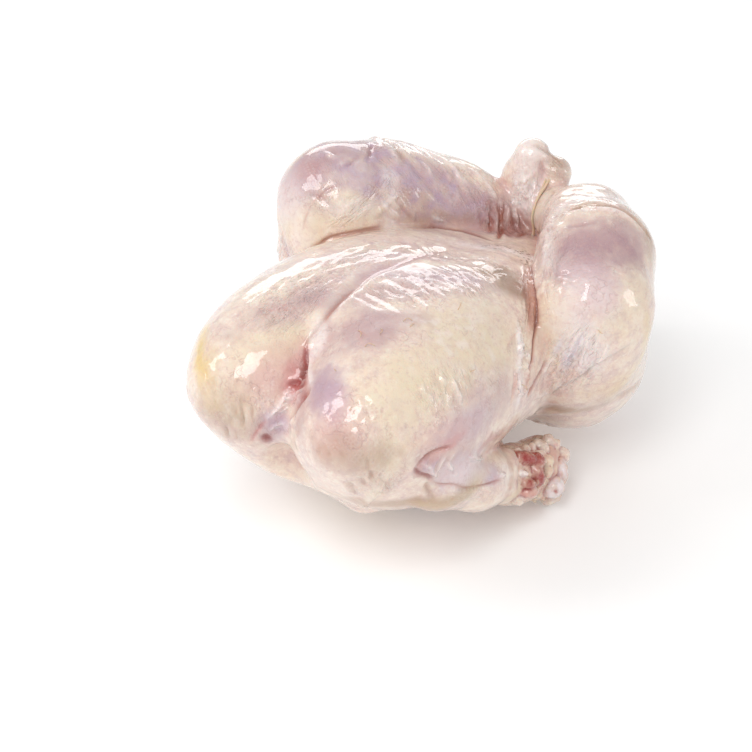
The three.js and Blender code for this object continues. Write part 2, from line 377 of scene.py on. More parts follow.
def draw_net(value, low, step):
    """Vertices and four-sided faces where the values on the grid change sign."""
    inside = value < 0
    cells = tuple(n - 1 for n in value.shape)
    total = np.zeros(cells + (3,), dtype=np.float32)
    count = np.zeros(cells, dtype=np.float32)
    quads = []
    crossed = {}
    for axis in range(3):
        b, c = (axis + 1) % 3, (axis + 2) % 3
        ahead = [slice(None)] * 3
        ahead[axis] = slice(1, None)
        behind = [slice(None)] * 3
        behind[axis] = slice(None, -1)
        first, second = value[tuple(behind)], value[tuple(ahead)]
        crosses = (first < 0) != (second < 0)
        crossed[axis] = crosses
        share = np.where(crosses, first / np.where(crosses, first - second, 1), 0)
        for over_b in (0, 1):
            for over_c in (0, 1):
                part = [slice(None)] * 3
                part[b] = slice(over_b, over_b + cells[b])
                part[c] = slice(over_c, over_c + cells[c])
                part = tuple(part)
                hit = crosses[part]
                count += hit
                total[..., axis] += share[part]
                total[..., b] += hit * over_b
                total[..., c] += hit * over_c
    used = count > 0
    name = np.full(cells, -1)
    name[used] = np.arange(int(used.sum()))
    corner = np.argwhere(used)
    points = low + step * (corner + total[used] / count[used][:, None])
    for axis in range(3):
        b, c = (axis + 1) % 3, (axis + 2) % 3
        edge = np.argwhere(crossed[axis])
        edge = edge[(edge[:, b] > 0) & (edge[:, c] > 0)]
        around = []
        for back, under in ((1, 1), (0, 1), (0, 0), (1, 0)):
            cell = edge.copy()
            cell[:, b] -= back
            cell[:, c] -= under
            around.append(name[tuple(cell.T)])
        faces = np.stack(around, axis=1)
        outward = inside[tuple(edge.T)]
        faces[~outward] = faces[~outward][:, ::-1]
        quads.append(faces)
    return points.astype(np.float32), np.concatenate(quads)


points, quads = draw_net(value, LOW, STEP)
print(len(points), "vertices and", len(quads), "quads")

# %% [markdown]
# ## Even faces
#
# The net's vertices sit near the skin but not on it, and its faces are uneven. Two moves mend
# both. A Newton step slides a vertex along the field's slope until its distance is zero. A
# smoothing step moves it towards the middle of its neighbours. In turn they give even quads
# that lie on the skin.

# %% Settle and ease the net


PROBE = 0.08           # mm to each side, to find a slope
LONGEST_MOVE = 1.0     # mm in one Newton step
FLATTEST = 0.1         # a slope below this counts as this steep
EASE_SHARE = 0.6       # of the way to the neighbours' middle


def slope_at(field, p):
    """The way in which the distance grows, as long as it is steep."""
    steps = np.eye(3, dtype=np.float32) * PROBE
    return np.stack([field(p + s) - field(p - s) for s in steps], axis=1) / (2 * PROBE)


def settle(field, p, rounds=1):
    """Newton steps towards distance zero."""
    for _ in range(rounds):
        slope = slope_at(field, p)
        steep = np.maximum((slope ** 2).sum(axis=1), FLATTEST)
        move = field(p)[:, None] * slope / steep[:, None]
        p = p - np.clip(move, -LONGEST_MOVE, LONGEST_MOVE)
    return p


def edges_of(quads, rims=()):
    """Every pair of next vertices, once."""
    pairs = [np.stack([quads, np.roll(quads, -1, axis=1)], axis=2).reshape(-1, 2)]
    for loop in rims:
        pairs.append(np.array([loop, loop[1:] + loop[:1]]).T)
    return np.unique(np.sort(np.concatenate(pairs), axis=1), axis=0)


def neighbour_mean(values, edges):
    """The mean of the next vertices round each vertex."""
    count = np.bincount(edges.ravel(), minlength=len(values))
    total = np.empty(values.shape)
    for k in range(values.shape[1]):
        total[:, k] = np.bincount(edges[:, 0], values[edges[:, 1], k], len(values))
        total[:, k] += np.bincount(edges[:, 1], values[edges[:, 0], k], len(values))
    return (total / np.maximum(count, 1)[:, None]).astype(np.float32)


def ease(field, points, edges, rounds=3):
    """Smooth and settle in turn."""
    points = settle(field, points, 2)
    for _ in range(rounds):
        points = points + EASE_SHARE * (neighbour_mean(points, edges) - points)
        points = settle(field, points)
    return points


points = ease(field, points, edges_of(quads))
print("distance left, mm:", float(np.abs(field(points)).max()))

# %% [markdown]
# ## Folds as lines on the skin
#
# The skin is loose: it wrinkles over the breast, gathers at the ankles and splits beside the
# breastbone. In sculpt mode each fold would be one brush stroke. Here a stroke is a line of a
# few places, given as the pixels where the camera sees them, because the eye judges folds by
# where they show. A ray through each pixel finds the skin, so every line lies on it.

# %% Find the skin behind a pixel
draft = BVHTree.FromPolygons(points.tolist(), quads.tolist())
LINE_STEP = 1.0        # mm between the places of a line
PIXEL_STEP = 3.0       # pixels between the rays that find a line
BETWEEN = 20           # steps from one corner of a curve to the next
MISSED = np.arange(680.0, 960.0, 4.0)      # mm from the eye, tried where a ray misses the skin


def seen(pixel):
    """The place on the skin that shows at this pixel, or the one that comes closest."""
    across, down = (np.array(pixel) - IMAGE_SIDE / 2) / FOCAL
    ray = across * RIGHT - down * UP - BACK
    place, _, _, _ = draft.ray_cast(Vector(EYE), Vector(ray))
    if place is None:
        nearest = [draft.find_nearest(Vector(EYE + ray * far)) for far in MISSED]
        place = min(nearest, key=lambda hit: hit[3])[0]
    return np.array(place)


def curved(corners, step):
    """A smooth curve through the corners, as evenly spaced places."""
    c = np.array(corners, dtype=float)
    c = np.vstack([2 * c[0] - c[1], c, 2 * c[-1] - c[-2]])
    t = np.linspace(0, 1, BETWEEN, endpoint=False)[:, None]
    pieces = []
    for a, b, d, e in zip(c, c[1:], c[2:], c[3:]):
        pieces.append(b + 0.5 * t * (d - a + t * (2 * a - 5 * b + 4 * d - e
                                                 + t * (3 * (b - d) + e - a))))
    dense = np.vstack(pieces + [c[-2:-1]])
    length = np.append(0, np.cumsum(np.linalg.norm(np.diff(dense, axis=0), axis=1)))
    wanted = np.linspace(0, length[-1], max(int(length[-1] / step), 2) + 1)
    return np.stack([np.interp(wanted, length, dense[:, k]) for k in range(dense.shape[1])], 1)


def on_skin(path):
    """A line on the skin: its places, and the skin's direction at each of them."""
    if len(path[0]) == 2:
        path = [seen(pixel) for pixel in curved(path, PIXEL_STEP)]
    places, normals = [], []
    for place in curved(path, LINE_STEP):
        spot, normal, _, _ = draft.find_nearest(Vector(place))
        places.append(spot)
        normals.append(normal)
    return np.array(places), np.array(normals)


KNEE_TOP = (600, 208)
print("the top of the near knee, in field mm:", seen(KNEE_TOP).round())

# %% Keep a list of folds
folds = []


def fold(path, width, height, shape="groove", tone=None, amount=0.6, spread=1.5, fade=5.0,
         twin=False):
    """A fold `width` mm wide and `height` mm high. Its twin lies on the bird's other side.

    Its tone reaches `spread` widths to each side, and its ends fade over `fade` mm.
    """
    places, normals = on_skin(path)
    lines = [(places, normals)]
    if twin:
        lines.append(on_skin([(-x, y, z) for x, y, z in places[::-2]]))
    for number, line in enumerate(lines):
        folds.append(dict(line=line, width=width, height=height, shape=shape, tone=tone,
                          amount=amount, spread=spread, fade=fade,
                          shown=number == 0 and len(path[0]) == 2))


# %% Keep a list of gathered patches
gathers = []


def gather(start, end, along, across, width, height, length, fine, twin=False):
    """A patch of small wrinkles that run from start to end.

    `along` and `across` are its half sizes; `width` and `length` are those of one wrinkle.
    `fine` is the share of the finest wrinkles, which the material adds.
    """
    for mirror in (1, -1) if twin else (1,):
        first, last = seen(start) * (mirror, 1, 1), seen(end) * (mirror, 1, 1)
        spot, normal, _, _ = draft.find_nearest(Vector((first + last) / 2))
        spot, normal = np.array(spot), np.array(normal)
        way = (last - first) - normal * ((last - first) @ normal)
        way /= np.linalg.norm(way)
        gathers.append(dict(spot=spot, normal=normal, way=way, aside=np.cross(normal, way),
                            along=along, across=across, width=width, height=height,
                            length=length, fine=fine))


# %% The breastbone: its fold and the crack below it
BREASTBONE_FOLD = [(452, 247), (425, 254), (400, 262), (371, 274), (352, 288), (338, 302),
                   (326, 319), (316, 335), (308, 350)]
BREASTBONE_LIP = [(400, 268), (380, 276), (362, 289), (347, 303), (336, 317), (326, 333),
                  (316, 347), (310, 360)]
BREASTBONE_LINE = [(362, 283), (345, 296), (331, 311), (321, 324), (310, 339), (303, 350)]
CRACK = [(307, 345), (306, 355), (305, 366), (301, 376), (295, 385)]
CRACK_LIP = [(309, 348), (309.5, 358), (309.5, 368), (310, 378), (310, 388)]
CRACK_TIP = [(301, 380), (296, 383), (287, 384.5)]

fold(BREASTBONE_FOLD, 2.2, -0.8, tone="flesh", amount=0.5, spread=1.2, fade=24)
fold(BREASTBONE_LIP, 1.3, 0.5, "ridge", fade=20)
fold(BREASTBONE_LINE, 0.7, -0.7, tone="rust", amount=0.45, spread=0.9, fade=10)
fold(CRACK, 1.0, -3.0, "crack", tone="rust", amount=1.0, spread=1.4, fade=8)
fold(CRACK, 0.9, -0.2, tone="blood", amount=0.8, spread=1.2, fade=10)
# The lip's pale tone is partly its own colour and partly painted highlight.
fold(CRACK_LIP, 1.0, 0.8, "ridge", tone="pale", amount=0.6, fade=5)
fold(CRACK_TIP, 0.8, -1.0, tone="blood", amount=0.8, fade=4)
print(len(folds), "folds so far")

# %% The torn skin beside the crack
NECK_SKIN_LEFT = [(292, 391), (288, 396), (284, 400), (279, 406), (273, 413), (266, 419)]
NECK_SKIN_LINE = [(267, 419), (260, 427), (255, 434), (251, 442)]
NECK_BAND = [(309, 386), (306, 394), (300, 402), (295, 411), (292, 421)]
NECK_HOLE = [(264, 435), (266.5, 438), (269, 441)]
MEMBRANES = [[(292, 391), (288.5, 392), (285.5, 396), (288, 398), (292, 394.5)],
             [(285, 400), (289, 399.5), (293, 397), (299, 392.5), (305, 388)],
             [(276, 411), (280, 408), (284, 405), (289, 404)],
             [(277, 411.5), (283, 410.5), (288, 407)], [(301, 385.5), (303, 382), (305, 379)],
             [(298, 399.5), (300.5, 395.5), (303, 392.5)], [(291, 425), (293, 419), (294, 414)],
             [(271, 429.5), (276, 425), (281, 423.5), (286, 423)]]

# The torn edge's pale line is painted glint.
fold(NECK_SKIN_LEFT, 0.7, 1.1, "ridge", tone="pale", amount=0.7, fade=5)
fold(NECK_SKIN_LINE, 0.55, -0.5, tone="pink", amount=0.7, fade=4)
fold(NECK_BAND, 1.2, -1.1, tone="blood", amount=0.6, spread=1.1, fade=4)
fold(NECK_HOLE, 1.8, -1.5, tone="blood", amount=0.5, spread=1.1, fade=1)
# The membranes' pale crests are painted glints.
for path in MEMBRANES:
    fold(path, 0.55, 0.9, "ridge", tone="pale", amount=0.4, fade=2)
print(len(folds), "folds so far")

# %% Wrinkles over the breast
FRONT_WRINKLES = [[(240, 399), (242, 408), (243.5, 418), (242.5, 428)],
                  [(252, 402), (253, 411), (252, 420)], [(232, 416), (230, 424)],
                  [(225, 421), (227, 430), (229, 438)], [(236, 431), (238, 440)],
                  [(237, 405), (236, 415)], [(213, 380), (215, 390)], [(206, 372), (207, 381)]]
LONG_WRINKLES = [[(372, 286), (382, 284), (393, 287), (406, 294), (420, 302), (430, 314)],
                 [(344, 303), (353, 300), (362, 304), (375, 311)],
                 [(438, 275), (447, 281), (458, 288), (470, 293)],
                 [(405, 272), (420, 275), (437, 282), (449, 290)],
                 [(385, 277), (400, 279), (415, 284), (428, 291)]]
NEAR_WRINKLES = [[(441, 374), (445.7, 387)], [(451, 376), (455.3, 388.6), (462.5, 404)],
                 [(461.3, 378), (466, 387)], [(428, 391), (433.6, 405)],
                 [(436, 398), (445, 406)], [(449, 404), (453, 414)], [(421, 384), (424, 395)]]
SHEEN_EDGES = [[(228, 323), (241, 312), (256, 301), (272, 291.5), (288, 286), (303, 279)],
               [(229, 312), (245, 307), (262, 296), (288, 280), (303, 273), (325, 268)],
               [(300, 283), (325, 274), (350, 266), (372, 262)]]

# Tan in these grooves is partly the skin's colour and partly painted shade.
for path in FRONT_WRINKLES:
    fold(path, 0.6, -0.8, tone="tan", amount=0.5, spread=0.9, fade=5)
# Pale on these long crests is painted sheen.
for path in LONG_WRINKLES:
    fold(path, 0.8, 0.45, "ridge", tone="pale", amount=0.4, fade=8)
# Pale on these short crests is painted glint.
for path in NEAR_WRINKLES:
    fold(path, 1.0, 1.7, "ridge", tone="pale", amount=0.4, fade=4)
for path in SHEEN_EDGES:
    fold(path, 1.6, 0.35, "ridge", fade=12)
print(len(folds), "folds so far")

# %% The skin below the neck
NECK_PITS = [[(319, 449), (320, 456)], [(329, 449), (330, 457)], [(341, 451), (344, 457)],
             [(365, 458), (368, 465), (367, 471)], [(371, 469), (372, 480)],
             [(363, 477), (364, 485)]]
FLAP_EDGE = [(364, 506), (372, 499), (380, 490), (386, 480), (393, 472)]
FLAP_FOLD = [(347, 480), (352, 487), (355, 496)]

# Tan in the pits is painted shade.
for path in NECK_PITS:
    fold(path, 0.9, -0.7, tone="tan", amount=0.35, spread=1.0, fade=2, twin=True)
fold(FLAP_EDGE, 1.2, 2.0, "lip", tone="fat", amount=0.5, spread=3, fade=5)
# Tan in the flap's fold is painted shade.
fold(FLAP_FOLD, 1.2, -1.0, tone="tan", amount=0.6, fade=4)
print(len(folds), "folds so far")

# %% The gap between breast and leg: bare flesh, with painted shade along its bottom
BARE_BAND = [(526, 266), (528, 280), (530, 295), (531, 310), (531, 325), (529, 340)]
GAP_BOTTOM = [(529, 262), (532, 278), (535, 298), (536.5, 320), (534, 340), (531.5, 359),
              (528, 374), (524, 390)]
GAP_NOTCH = [(533, 385), (530, 390), (527.5, 396)]
BREAST_EDGE = [(523, 262), (523.5, 276), (524, 292)]
BARE_STRANDS = [[(526, 270), (528, 284), (529, 298)], [(530, 292), (529, 308), (527, 322)],
                [(533, 305), (533, 320), (530, 334)], [(524, 300), (525, 314), (524, 328)]]

fold(BARE_BAND, 2.0, -0.4, tone="rust", amount=0.6, spread=1.1, fade=10)
# Along the gap's bottom: the bare flesh's own rust, then painted shade in the crease.
fold(GAP_BOTTOM, 0.8, -0.3, tone="rust", amount=0.8, spread=1.4, fade=9)
fold(GAP_BOTTOM, 0.5, -0.3, tone="shade", amount=0.8, spread=0.9, fade=14)
fold(GAP_NOTCH, 0.8, -1.0, tone="rust", amount=1.0, fade=2)
# The breast's edge is painted paler along its crest, as painted highlight.
fold(BREAST_EDGE, 0.7, 0.4, "ridge", tone="pale", amount=0.3, fade=5)
for path in BARE_STRANDS:
    fold(path, 0.7, 0.6, "ridge", tone="tan", amount=0.5, spread=1.0, fade=5)
print(len(folds), "folds so far")

# %% A bead of wet skin along the gap
WET_EDGE = [(517, 326), (519, 338), (521, 350), (520, 362)]
WET_LOOP = [(516, 369), (521, 366), (526, 369), (527, 378), (525, 388), (521, 394), (517, 392),
            (515, 383), (516, 374)]
WET_GLINTS = [[(519, 381), (519.5, 391)], [(524, 352), (528, 355), (529, 360)],
              [(521, 343), (525, 346)], [(517, 330), (518, 338)], [(524, 364), (528, 365)]]
WET_LINE = [(515, 368), (514, 386), (510, 408)]

fold(WET_EDGE, 1.5, 1.2, "bead", tone="wet", amount=1.0, spread=1.8, fade=6)
fold(WET_LOOP, 0.7, 1.3, "bead", tone="wet", amount=1.0, spread=2.5, fade=2)
# Pale on these little ridges is painted glint.
for path in WET_GLINTS:
    fold(path, 0.7, 0.8, "ridge", tone="pale", amount=0.7, fade=2)
fold(WET_LINE, 0.7, -0.5, tone="pink", amount=0.35, fade=5)
print(len(folds), "folds so far")

# %% The arc over the near knee
KNEE_ARC = [(555, 222), (565, 213), (576, 207.5), (591, 204.5), (606, 206), (620, 210),
            (630, 215), (638, 222), (645, 231), (651, 243)]
KNEE_LIP = [(560, 222), (568, 215.5), (580, 211), (596, 209.5), (610, 210.5), (622, 214),
            (631, 220), (638, 228)]
KNEE_FOLDS = [[(566, 230), (578, 226), (588, 224), (599, 221)], [(560, 240), (575, 237)],
              [(548, 279), (556, 275.5), (567, 275), (574, 280)],
              [(550, 284), (557, 281), (566, 284)]]
LEG_GLINTS = [[(545.5, 233), (544, 245), (543, 257), (541, 268)], [(560, 262), (552, 270)]]

# Tan darkens the knee's crease, partly as painted shade.
fold(KNEE_ARC, 1.0, -1.4, tone="tan", amount=1.0, spread=1.5, fade=14, twin=True)
fold(KNEE_ARC, 0.6, -0.2, tone="flesh", amount=0.7, fade=14, twin=True)
# The lip above the crease is painted paler, as painted highlight.
fold(KNEE_LIP, 0.7, 1.0, "ridge", tone="pale", amount=0.7, fade=12, twin=True)
for path in KNEE_FOLDS:
    fold(path, 1.0, -0.5, tone="flesh", amount=0.5, fade=5, twin=True)
for path in LEG_GLINTS:
    fold(path, 1.2, 0.9, "bead", fade=4, twin=True)
print(len(folds), "folds so far")

# %% The stretched skin on the near thigh
THIGH_GROOVES = [[(575, 336), (570, 349), (565, 360), (560, 371)],
                 [(588, 327), (578, 343), (570, 360), (563, 374)],
                 [(566, 334), (558, 348), (552, 362)]]
THIGH_RIDGES = [[(595, 329), (587, 344), (581, 361), (575, 373)],
                [(610, 341), (605, 352), (602, 361)],
                [(584, 327), (572, 346), (566, 362)],
                [(555, 352), (546, 370), (541, 383)]]
THIGH_RED = [(548, 356), (541, 371), (534, 384), (530, 396)]
THIGH_FOLD = [(530, 401), (541, 396), (556, 389), (571, 380), (588, 369), (603, 359),
              (622, 348), (637, 339)]
THIGH_UNDERFOLD = [(528, 415), (551, 414), (574, 411), (588, 404), (600, 397)]

for path in THIGH_GROOVES:
    fold(path, 0.9, -0.6, tone="cool", amount=0.7, fade=8, twin=True)
# Pale on the thigh's ridges is painted light on their crests.
for path in THIGH_RIDGES:
    fold(path, 0.7, 0.9, "ridge", tone="pale", amount=0.6, fade=8, twin=True)
fold(THIGH_RED, 0.8, -0.8, tone="blood", amount=0.6, spread=1.1, fade=5, twin=True)
# The fold's lip is painted paler as painted light, and the skin under it tan as painted shade.
fold(THIGH_FOLD, 0.9, 1.5, "lip", tone="pale", amount=0.45, fade=12, twin=True)
fold(THIGH_FOLD, 1.0, -0.3, tone="tan", amount=0.5, spread=1.2, fade=12, twin=True)
fold(THIGH_UNDERFOLD, 1.2, 0.6, "lip", fade=8, twin=True)
print(len(folds), "folds so far")

# %% The loose skin on the far leg
FAR_CREASES = [[(371.6, 142), (371, 150), (369, 158), (366, 166)],
               [(361, 156), (351, 163), (343, 167.5), (337, 172)],
               [(318, 200), (323, 194), (330, 189), (338, 185)],
               [(311, 208), (306, 219), (303, 230)],
               [(380, 207), (386, 215), (393, 220), (402, 224)],
               [(386, 200), (390, 207), (398, 212), (405, 216)],
               [(395, 192), (399, 204), (406, 213), (415, 223)],
               [(458, 186), (462, 194), (465, 203)],
               [(436, 162), (444, 171), (451, 179)],
               [(419, 149), (428, 157), (436, 163)]]
FAR_RIDGES = [[(324, 152), (332, 156.5), (341, 159)], [(336, 155), (346, 156)],
              [(414, 212), (414, 222)], [(430, 215), (437, 219.5), (446, 222)],
              [(391, 144), (401, 152), (410, 157)], [(419, 160), (428, 168), (433, 178)],
              [(446, 160), (456, 171), (463, 182)], [(470, 167), (480, 177), (488, 187)],
              [(484, 181), (493, 193), (504, 206)], [(380, 196), (384, 206), (391, 213)]]
FAR_CONTACT_SHADE = [(306, 249), (318, 245), (329, 238), (345, 234), (364, 230), (378, 228), (391, 226)]
FAR_CONTACT_RED_SHADE = [(414, 225), (430, 227), (447, 229), (463, 231.5), (480, 236), (497, 242)]

for path in FAR_CREASES:
    fold(path, 0.8, -1.0, tone="flesh", amount=0.55, spread=1.0, fade=9)
# Pale on these crests is painted glint.
for path in FAR_RIDGES:
    fold(path, 0.8, 1.0, "ridge", tone="pale", amount=0.5, fade=5)
# Where the far leg lies on the breast: a dark rust line and shade, as painted contact shadow.
fold(FAR_CONTACT_SHADE, 0.9, -0.5, tone="rust", amount=0.55, spread=1.1, fade=10)
fold(FAR_CONTACT_SHADE, 0.6, -0.3, tone="shade", amount=0.3, fade=10)
fold(FAR_CONTACT_RED_SHADE, 1.4, -0.5, tone="rust", amount=0.7, spread=1.5, fade=12)
fold(FAR_CONTACT_RED_SHADE, 1.0, -0.3, tone="shade", amount=0.9, fade=12)
print(len(folds), "folds so far")

# %% The tied ankle and its end
ANKLE_RIDGES = [[(497, 213), (498, 221), (495, 229)],
                [(508.5, 202), (508, 211), (507, 219), (505, 227)],
                [(512, 208), (517, 217), (519, 226)]]
ANKLE_GROOVES = [[(490, 212), (492, 222), (489, 232)],
                 [(502, 206), (503, 217), (501, 230), (498, 239)],
                 [(510, 203), (518, 211), (522, 220), (529, 229)],
                 [(516, 237), (523, 234.5), (530, 232)]]
KNOB_CREASE = [(539, 161), (541.5, 168), (540.5, 174), (534, 182)]
KNOB_NOTCH = [(533, 143), (542, 148), (555, 153.5)]
KNOB_FOLDS = [[(533, 179), (530, 191), (530, 202)], [(540, 185), (534, 197), (531, 208)],
              [(546, 176), (540, 182), (536, 190)]]
KNOB_BUMPS = [[(526, 176), (524, 186), (527, 196)], [(531, 172), (529, 180)],
              [(535, 186), (533, 194)], [(522, 192), (526, 201)], [(543, 163), (544, 170)],
              [(517, 183), (520, 192)]]
KNOB_WRINKLES = [[(543 + 3 * k, 149 + 2.2 * k), (549 + 3 * k, 153 + 2.2 * k),
                  (553 + 3 * k, 159 + 2.2 * k)] for k in range(-2, 4)]

# Pale on the ankle's ridges is painted light on their crests.
for path in ANKLE_RIDGES:
    fold(path, 0.9, 0.9, "ridge", tone="pale", amount=0.3, spread=0.9, fade=6)
for path in ANKLE_GROOVES:
    fold(path, 0.9, -1.1, tone="rust", amount=0.85, spread=1.2, fade=7)
fold(KNOB_CREASE, 1.2, -1.8, tone="pink", amount=0.9, spread=1.2, fade=3)
# Tan in the notch and the fine wrinkles below is partly painted shade.
fold(KNOB_NOTCH, 1.3, -0.9, tone="tan", amount=0.7, fade=4)
for path in KNOB_FOLDS:
    fold(path, 0.9, -0.9, tone="pink", amount=0.4, fade=3)
# Pale on the knob's bumps is painted highlight.
for path in KNOB_BUMPS:
    fold(path, 0.9, 1.3, "bead", tone="pale", amount=0.8, spread=1.6, fade=3)
for path in KNOB_WRINKLES:
    fold(path, 0.5, -0.35, tone="tan", amount=0.5, spread=1.0, fade=2)
print(len(folds), "folds so far")

# %% The wing: its root, the muscle under thin skin, and the arm
ROOT_TOP = [(415, 467), (421, 461), (431, 453), (445, 448), (455, 445)]
ROOT_BOTTOM = [(415, 467), (418, 473), (427, 476), (434, 480)]
ROOT_FOLDS = [[(426, 458), (425, 466), (427, 473)], [(434, 462), (431, 470), (432, 477)],
              [(441, 456), (435, 462), (431, 470)]]
MUSCLE_GLINTS = [[(446, 462), (452, 469)], [(452, 474), (457, 474)], [(497, 474), (504, 475)],
                 [(470, 455), (480, 459)]]
MUSCLE_EDGE = [(429, 480), (440, 484), (453, 484), (465, 487.5), (480, 485.5), (494, 481.5),
               (503, 478)]
ARM_SEAM = [(427, 481), (427.5, 489), (435, 498)]
MEMBRANE_FOLDS = [[(422, 462), (430, 468), (437, 478)], [(447, 455), (441, 463), (436, 474)],
                  [(455, 452), (449, 462)], [(446, 466), (452, 470)]]

fold(ROOT_TOP, 0.8, -1.2, tone="rust", amount=0.55, spread=0.8, fade=6, twin=True)
fold(ROOT_BOTTOM, 0.9, -1.3, tone="blood", amount=0.7, spread=1.1, fade=3, twin=True)
for path in ROOT_FOLDS:
    fold(path, 0.8, 0.7, "ridge", tone="lilac", amount=0.6, fade=3, twin=True)
# Pale on these little ridges is painted glint.
for path in MUSCLE_GLINTS:
    fold(path, 0.8, 1.5, "ridge", tone="pale", amount=0.6, fade=2, twin=True)
fold(MUSCLE_EDGE, 0.5, -0.7, tone="rust", amount=0.5, spread=0.8, fade=8, twin=True)
# Tan in the seam is partly painted shade.
fold(ARM_SEAM, 1.1, -0.8, tone="tan", amount=0.5, fade=4, twin=True)
# Pale on the membranes' folds is painted glint.
for path in MEMBRANE_FOLDS:
    fold(path, 0.6, 0.6, "ridge", tone="pale", amount=0.5, fade=3, twin=True)
print(len(folds), "folds so far")

# %% Veins under the skin
VEINS = [[(262, 308), (272, 311), (283, 309), (290, 314)], [(297, 311), (303, 304)],
         [(356, 329), (363, 333), (368, 338)], [(302, 233), (309, 209), (322, 194), (341, 183)],
         [(247, 330), (253, 336)], [(520, 330), (512, 338), (507, 349)]]

for path in VEINS:
    fold(path, 0.5, 0.1, "ridge", tone="pink", amount=0.3, spread=1.0, fade=4, twin=True)
print(len(folds), "folds so far")

# %% Patches where the skin is gathered
GATHERS = [                # start, end, along, across, width, height, length, fine, twin
    ((455, 262), (425, 246), 12, 16, 1.5, 0.45, 8.0, 0.8),
    ((375, 268), (440, 312), 16, 22, 1.5, 0.6, 12.0, 1.0),
    ((430, 264), (492, 304), 16, 20, 1.5, 0.6, 12.0, 1.0),
    ((470, 272), (500, 262), 10, 10, 1.5, 0.38, 8.0, 0.6),
    ((262, 318), (318, 278), 26, 14, 1.5, 0.75, 12.0, 1.0),
    ((330, 270), (400, 246), 26, 9, 1.4, 0.48, 12.0, 0.8),
    ((440, 376), (450, 402), 9, 17, 1.8, 0.5, 8.0, 0.5),
    ((486, 380), (502, 402), 10, 13, 1.8, 0.4, 9.0, 0.3),
    ((350, 415), (352, 440), 14, 22, 1.6, 0.4, 3.0, 0.0),
    ((395, 430), (380, 470), 14, 18, 1.8, 0.45, 5.0, 0.2),
    ((240, 395), (242, 425), 13, 20, 1.6, 0.6, 5.0, 0.2),
    ((205, 350), (212, 395), 18, 10, 1.6, 0.35, 6.0, 0.2),
    ((392, 152), (442, 200), 24, 20, 3.0, 1.05, 14.0, 0.4, True),
    ((462, 172), (495, 212), 16, 16, 2.2, 1.05, 12.0, 0.5),
    ((310, 165), (330, 200), 14, 14, 2.6, 0.40, 8.0, 0.4, True),
    ((500, 200), (514, 238), 12, 13, 2.2, 1.0, 18.0, 0.6),
    ((600, 325), (548, 392), 22, 13, 1.7, 1.0, 20.0, 0.9, True),
    ((575, 206), (632, 212), 18, 7, 1.2, 0.45, 14.0, 0.6, True),
    ((560, 235), (548, 290), 20, 5, 1.5, 0.52, 7.0, 0.6, True),
    ((545, 150), (566, 172), 6, 7, 1.1, 0.45, 8.0, 0.8),
    ((536, 180), (528, 205), 10, 7, 1.2, 0.90, 5.0, 0.8),
    ((528, 262), (531, 345), 22, 3.5, 1.0, 0.52, 12.0, 0.9),
    ((520, 322), (523, 365), 14, 4, 1.2, 0.8, 3.0, 0.3),
    ((430, 490), (500, 494), 18, 5, 1.2, 0.38, 8.0, 0.6, True),
    ((370, 470), (385, 495), 10, 10, 1.5, 0.75, 7.0, 0.6, True),
]

for patch in GATHERS:
    gather(*patch)
print(len(gathers), "gathered patches")

# %% The back, the tail and the far side, which no one line of sight shows at once
BACK_FOLDS = [[(-30, -40, 10), (-38, -20, 12), (-42, 5, 16), (-44, 25, 20)],
              [(-22, 50, 8), (-30, 64, 14), (-38, 78, 26)],
              [(-8, 104, 26), (0, 106, 25), (8, 104, 26)],
              [(-20, -60, 14), (-30, -50, 12), (-36, -38, 14)]]
HIP_FOLDS = [[(50, 60, 40), (46, 72, 46), (40, 82, 54)], [(56, 50, 36), (52, 64, 34), (44, 78, 36)],
             [(70, 20, 50), (66, 34, 46), (60, 46, 42)]]
TAIL_FOLDS = [[(-10, 108, 48), (0, 112, 49), (10, 108, 48)], [(14, 100, 36), (12, 106, 30)]]

# Tan in these creases is partly painted shade.
for path in BACK_FOLDS + HIP_FOLDS + TAIL_FOLDS:
    fold(path, 1.6, -0.9, tone="tan", amount=0.4, fade=9, twin=True)
print(len(folds), "folds in all,", sum(len(f["line"][0]) for f in folds), "places")

# %% [markdown]
# ## Small faces where the small folds are
#
# A fold one millimetre wide needs faces smaller than itself, but the plain skin on the back
# doesn't. Blender's Subdivision modifier would split every face. Here the faces on the side that
# shows are split in four, and so is every face near a fold: once more where the fold is narrow,
# and a third time where it is very narrow. Each neighbour that keeps its size takes the new edge
# points into its rim, so that the skin stays closed.

# %% Split chosen faces
SPAN = 10 ** 7         # larger than any vertex number


def edge_names(faces):
    """One number for each edge of each face, the same from either side."""
    ends = np.sort(np.stack([faces, np.roll(faces, -1, axis=1)], axis=2), axis=2)
    return ends[..., 0] * SPAN + ends[..., 1]


def split(points, quads, rims, chosen):
    """Each chosen face becomes four. `rims` are the whole faces with extra points on an edge."""
    count, big = len(points), quads[chosen]
    names, place = np.unique(edge_names(big), return_inverse=True)
    side = count + place.reshape(big.shape)
    middle = count + len(names) + np.arange(len(big))
    ends = np.stack([names // SPAN, names % SPAN], axis=1)
    points = np.concatenate([points, points[ends].mean(axis=1), points[big].mean(axis=1)])
    small = [np.stack([big[:, i], side[:, i], middle, side[:, i - 1]], 1) for i in range(4)]
    kept = quads[~chosen]
    touched = np.isin(edge_names(kept), names).any(axis=1)
    halfway = dict(zip(names.tolist(), range(count, count + len(names))))
    longer_rims = []
    for loop in rims + kept[touched].tolist():
        longer = []
        for a, b in zip(loop, loop[1:] + loop[:1]):
            new = halfway.get(min(a, b) * SPAN + max(a, b))
            longer += [a] if new is None else [a, new]
        longer_rims.append(longer)
    return points, np.concatenate([kept[~touched], *small]), longer_rims


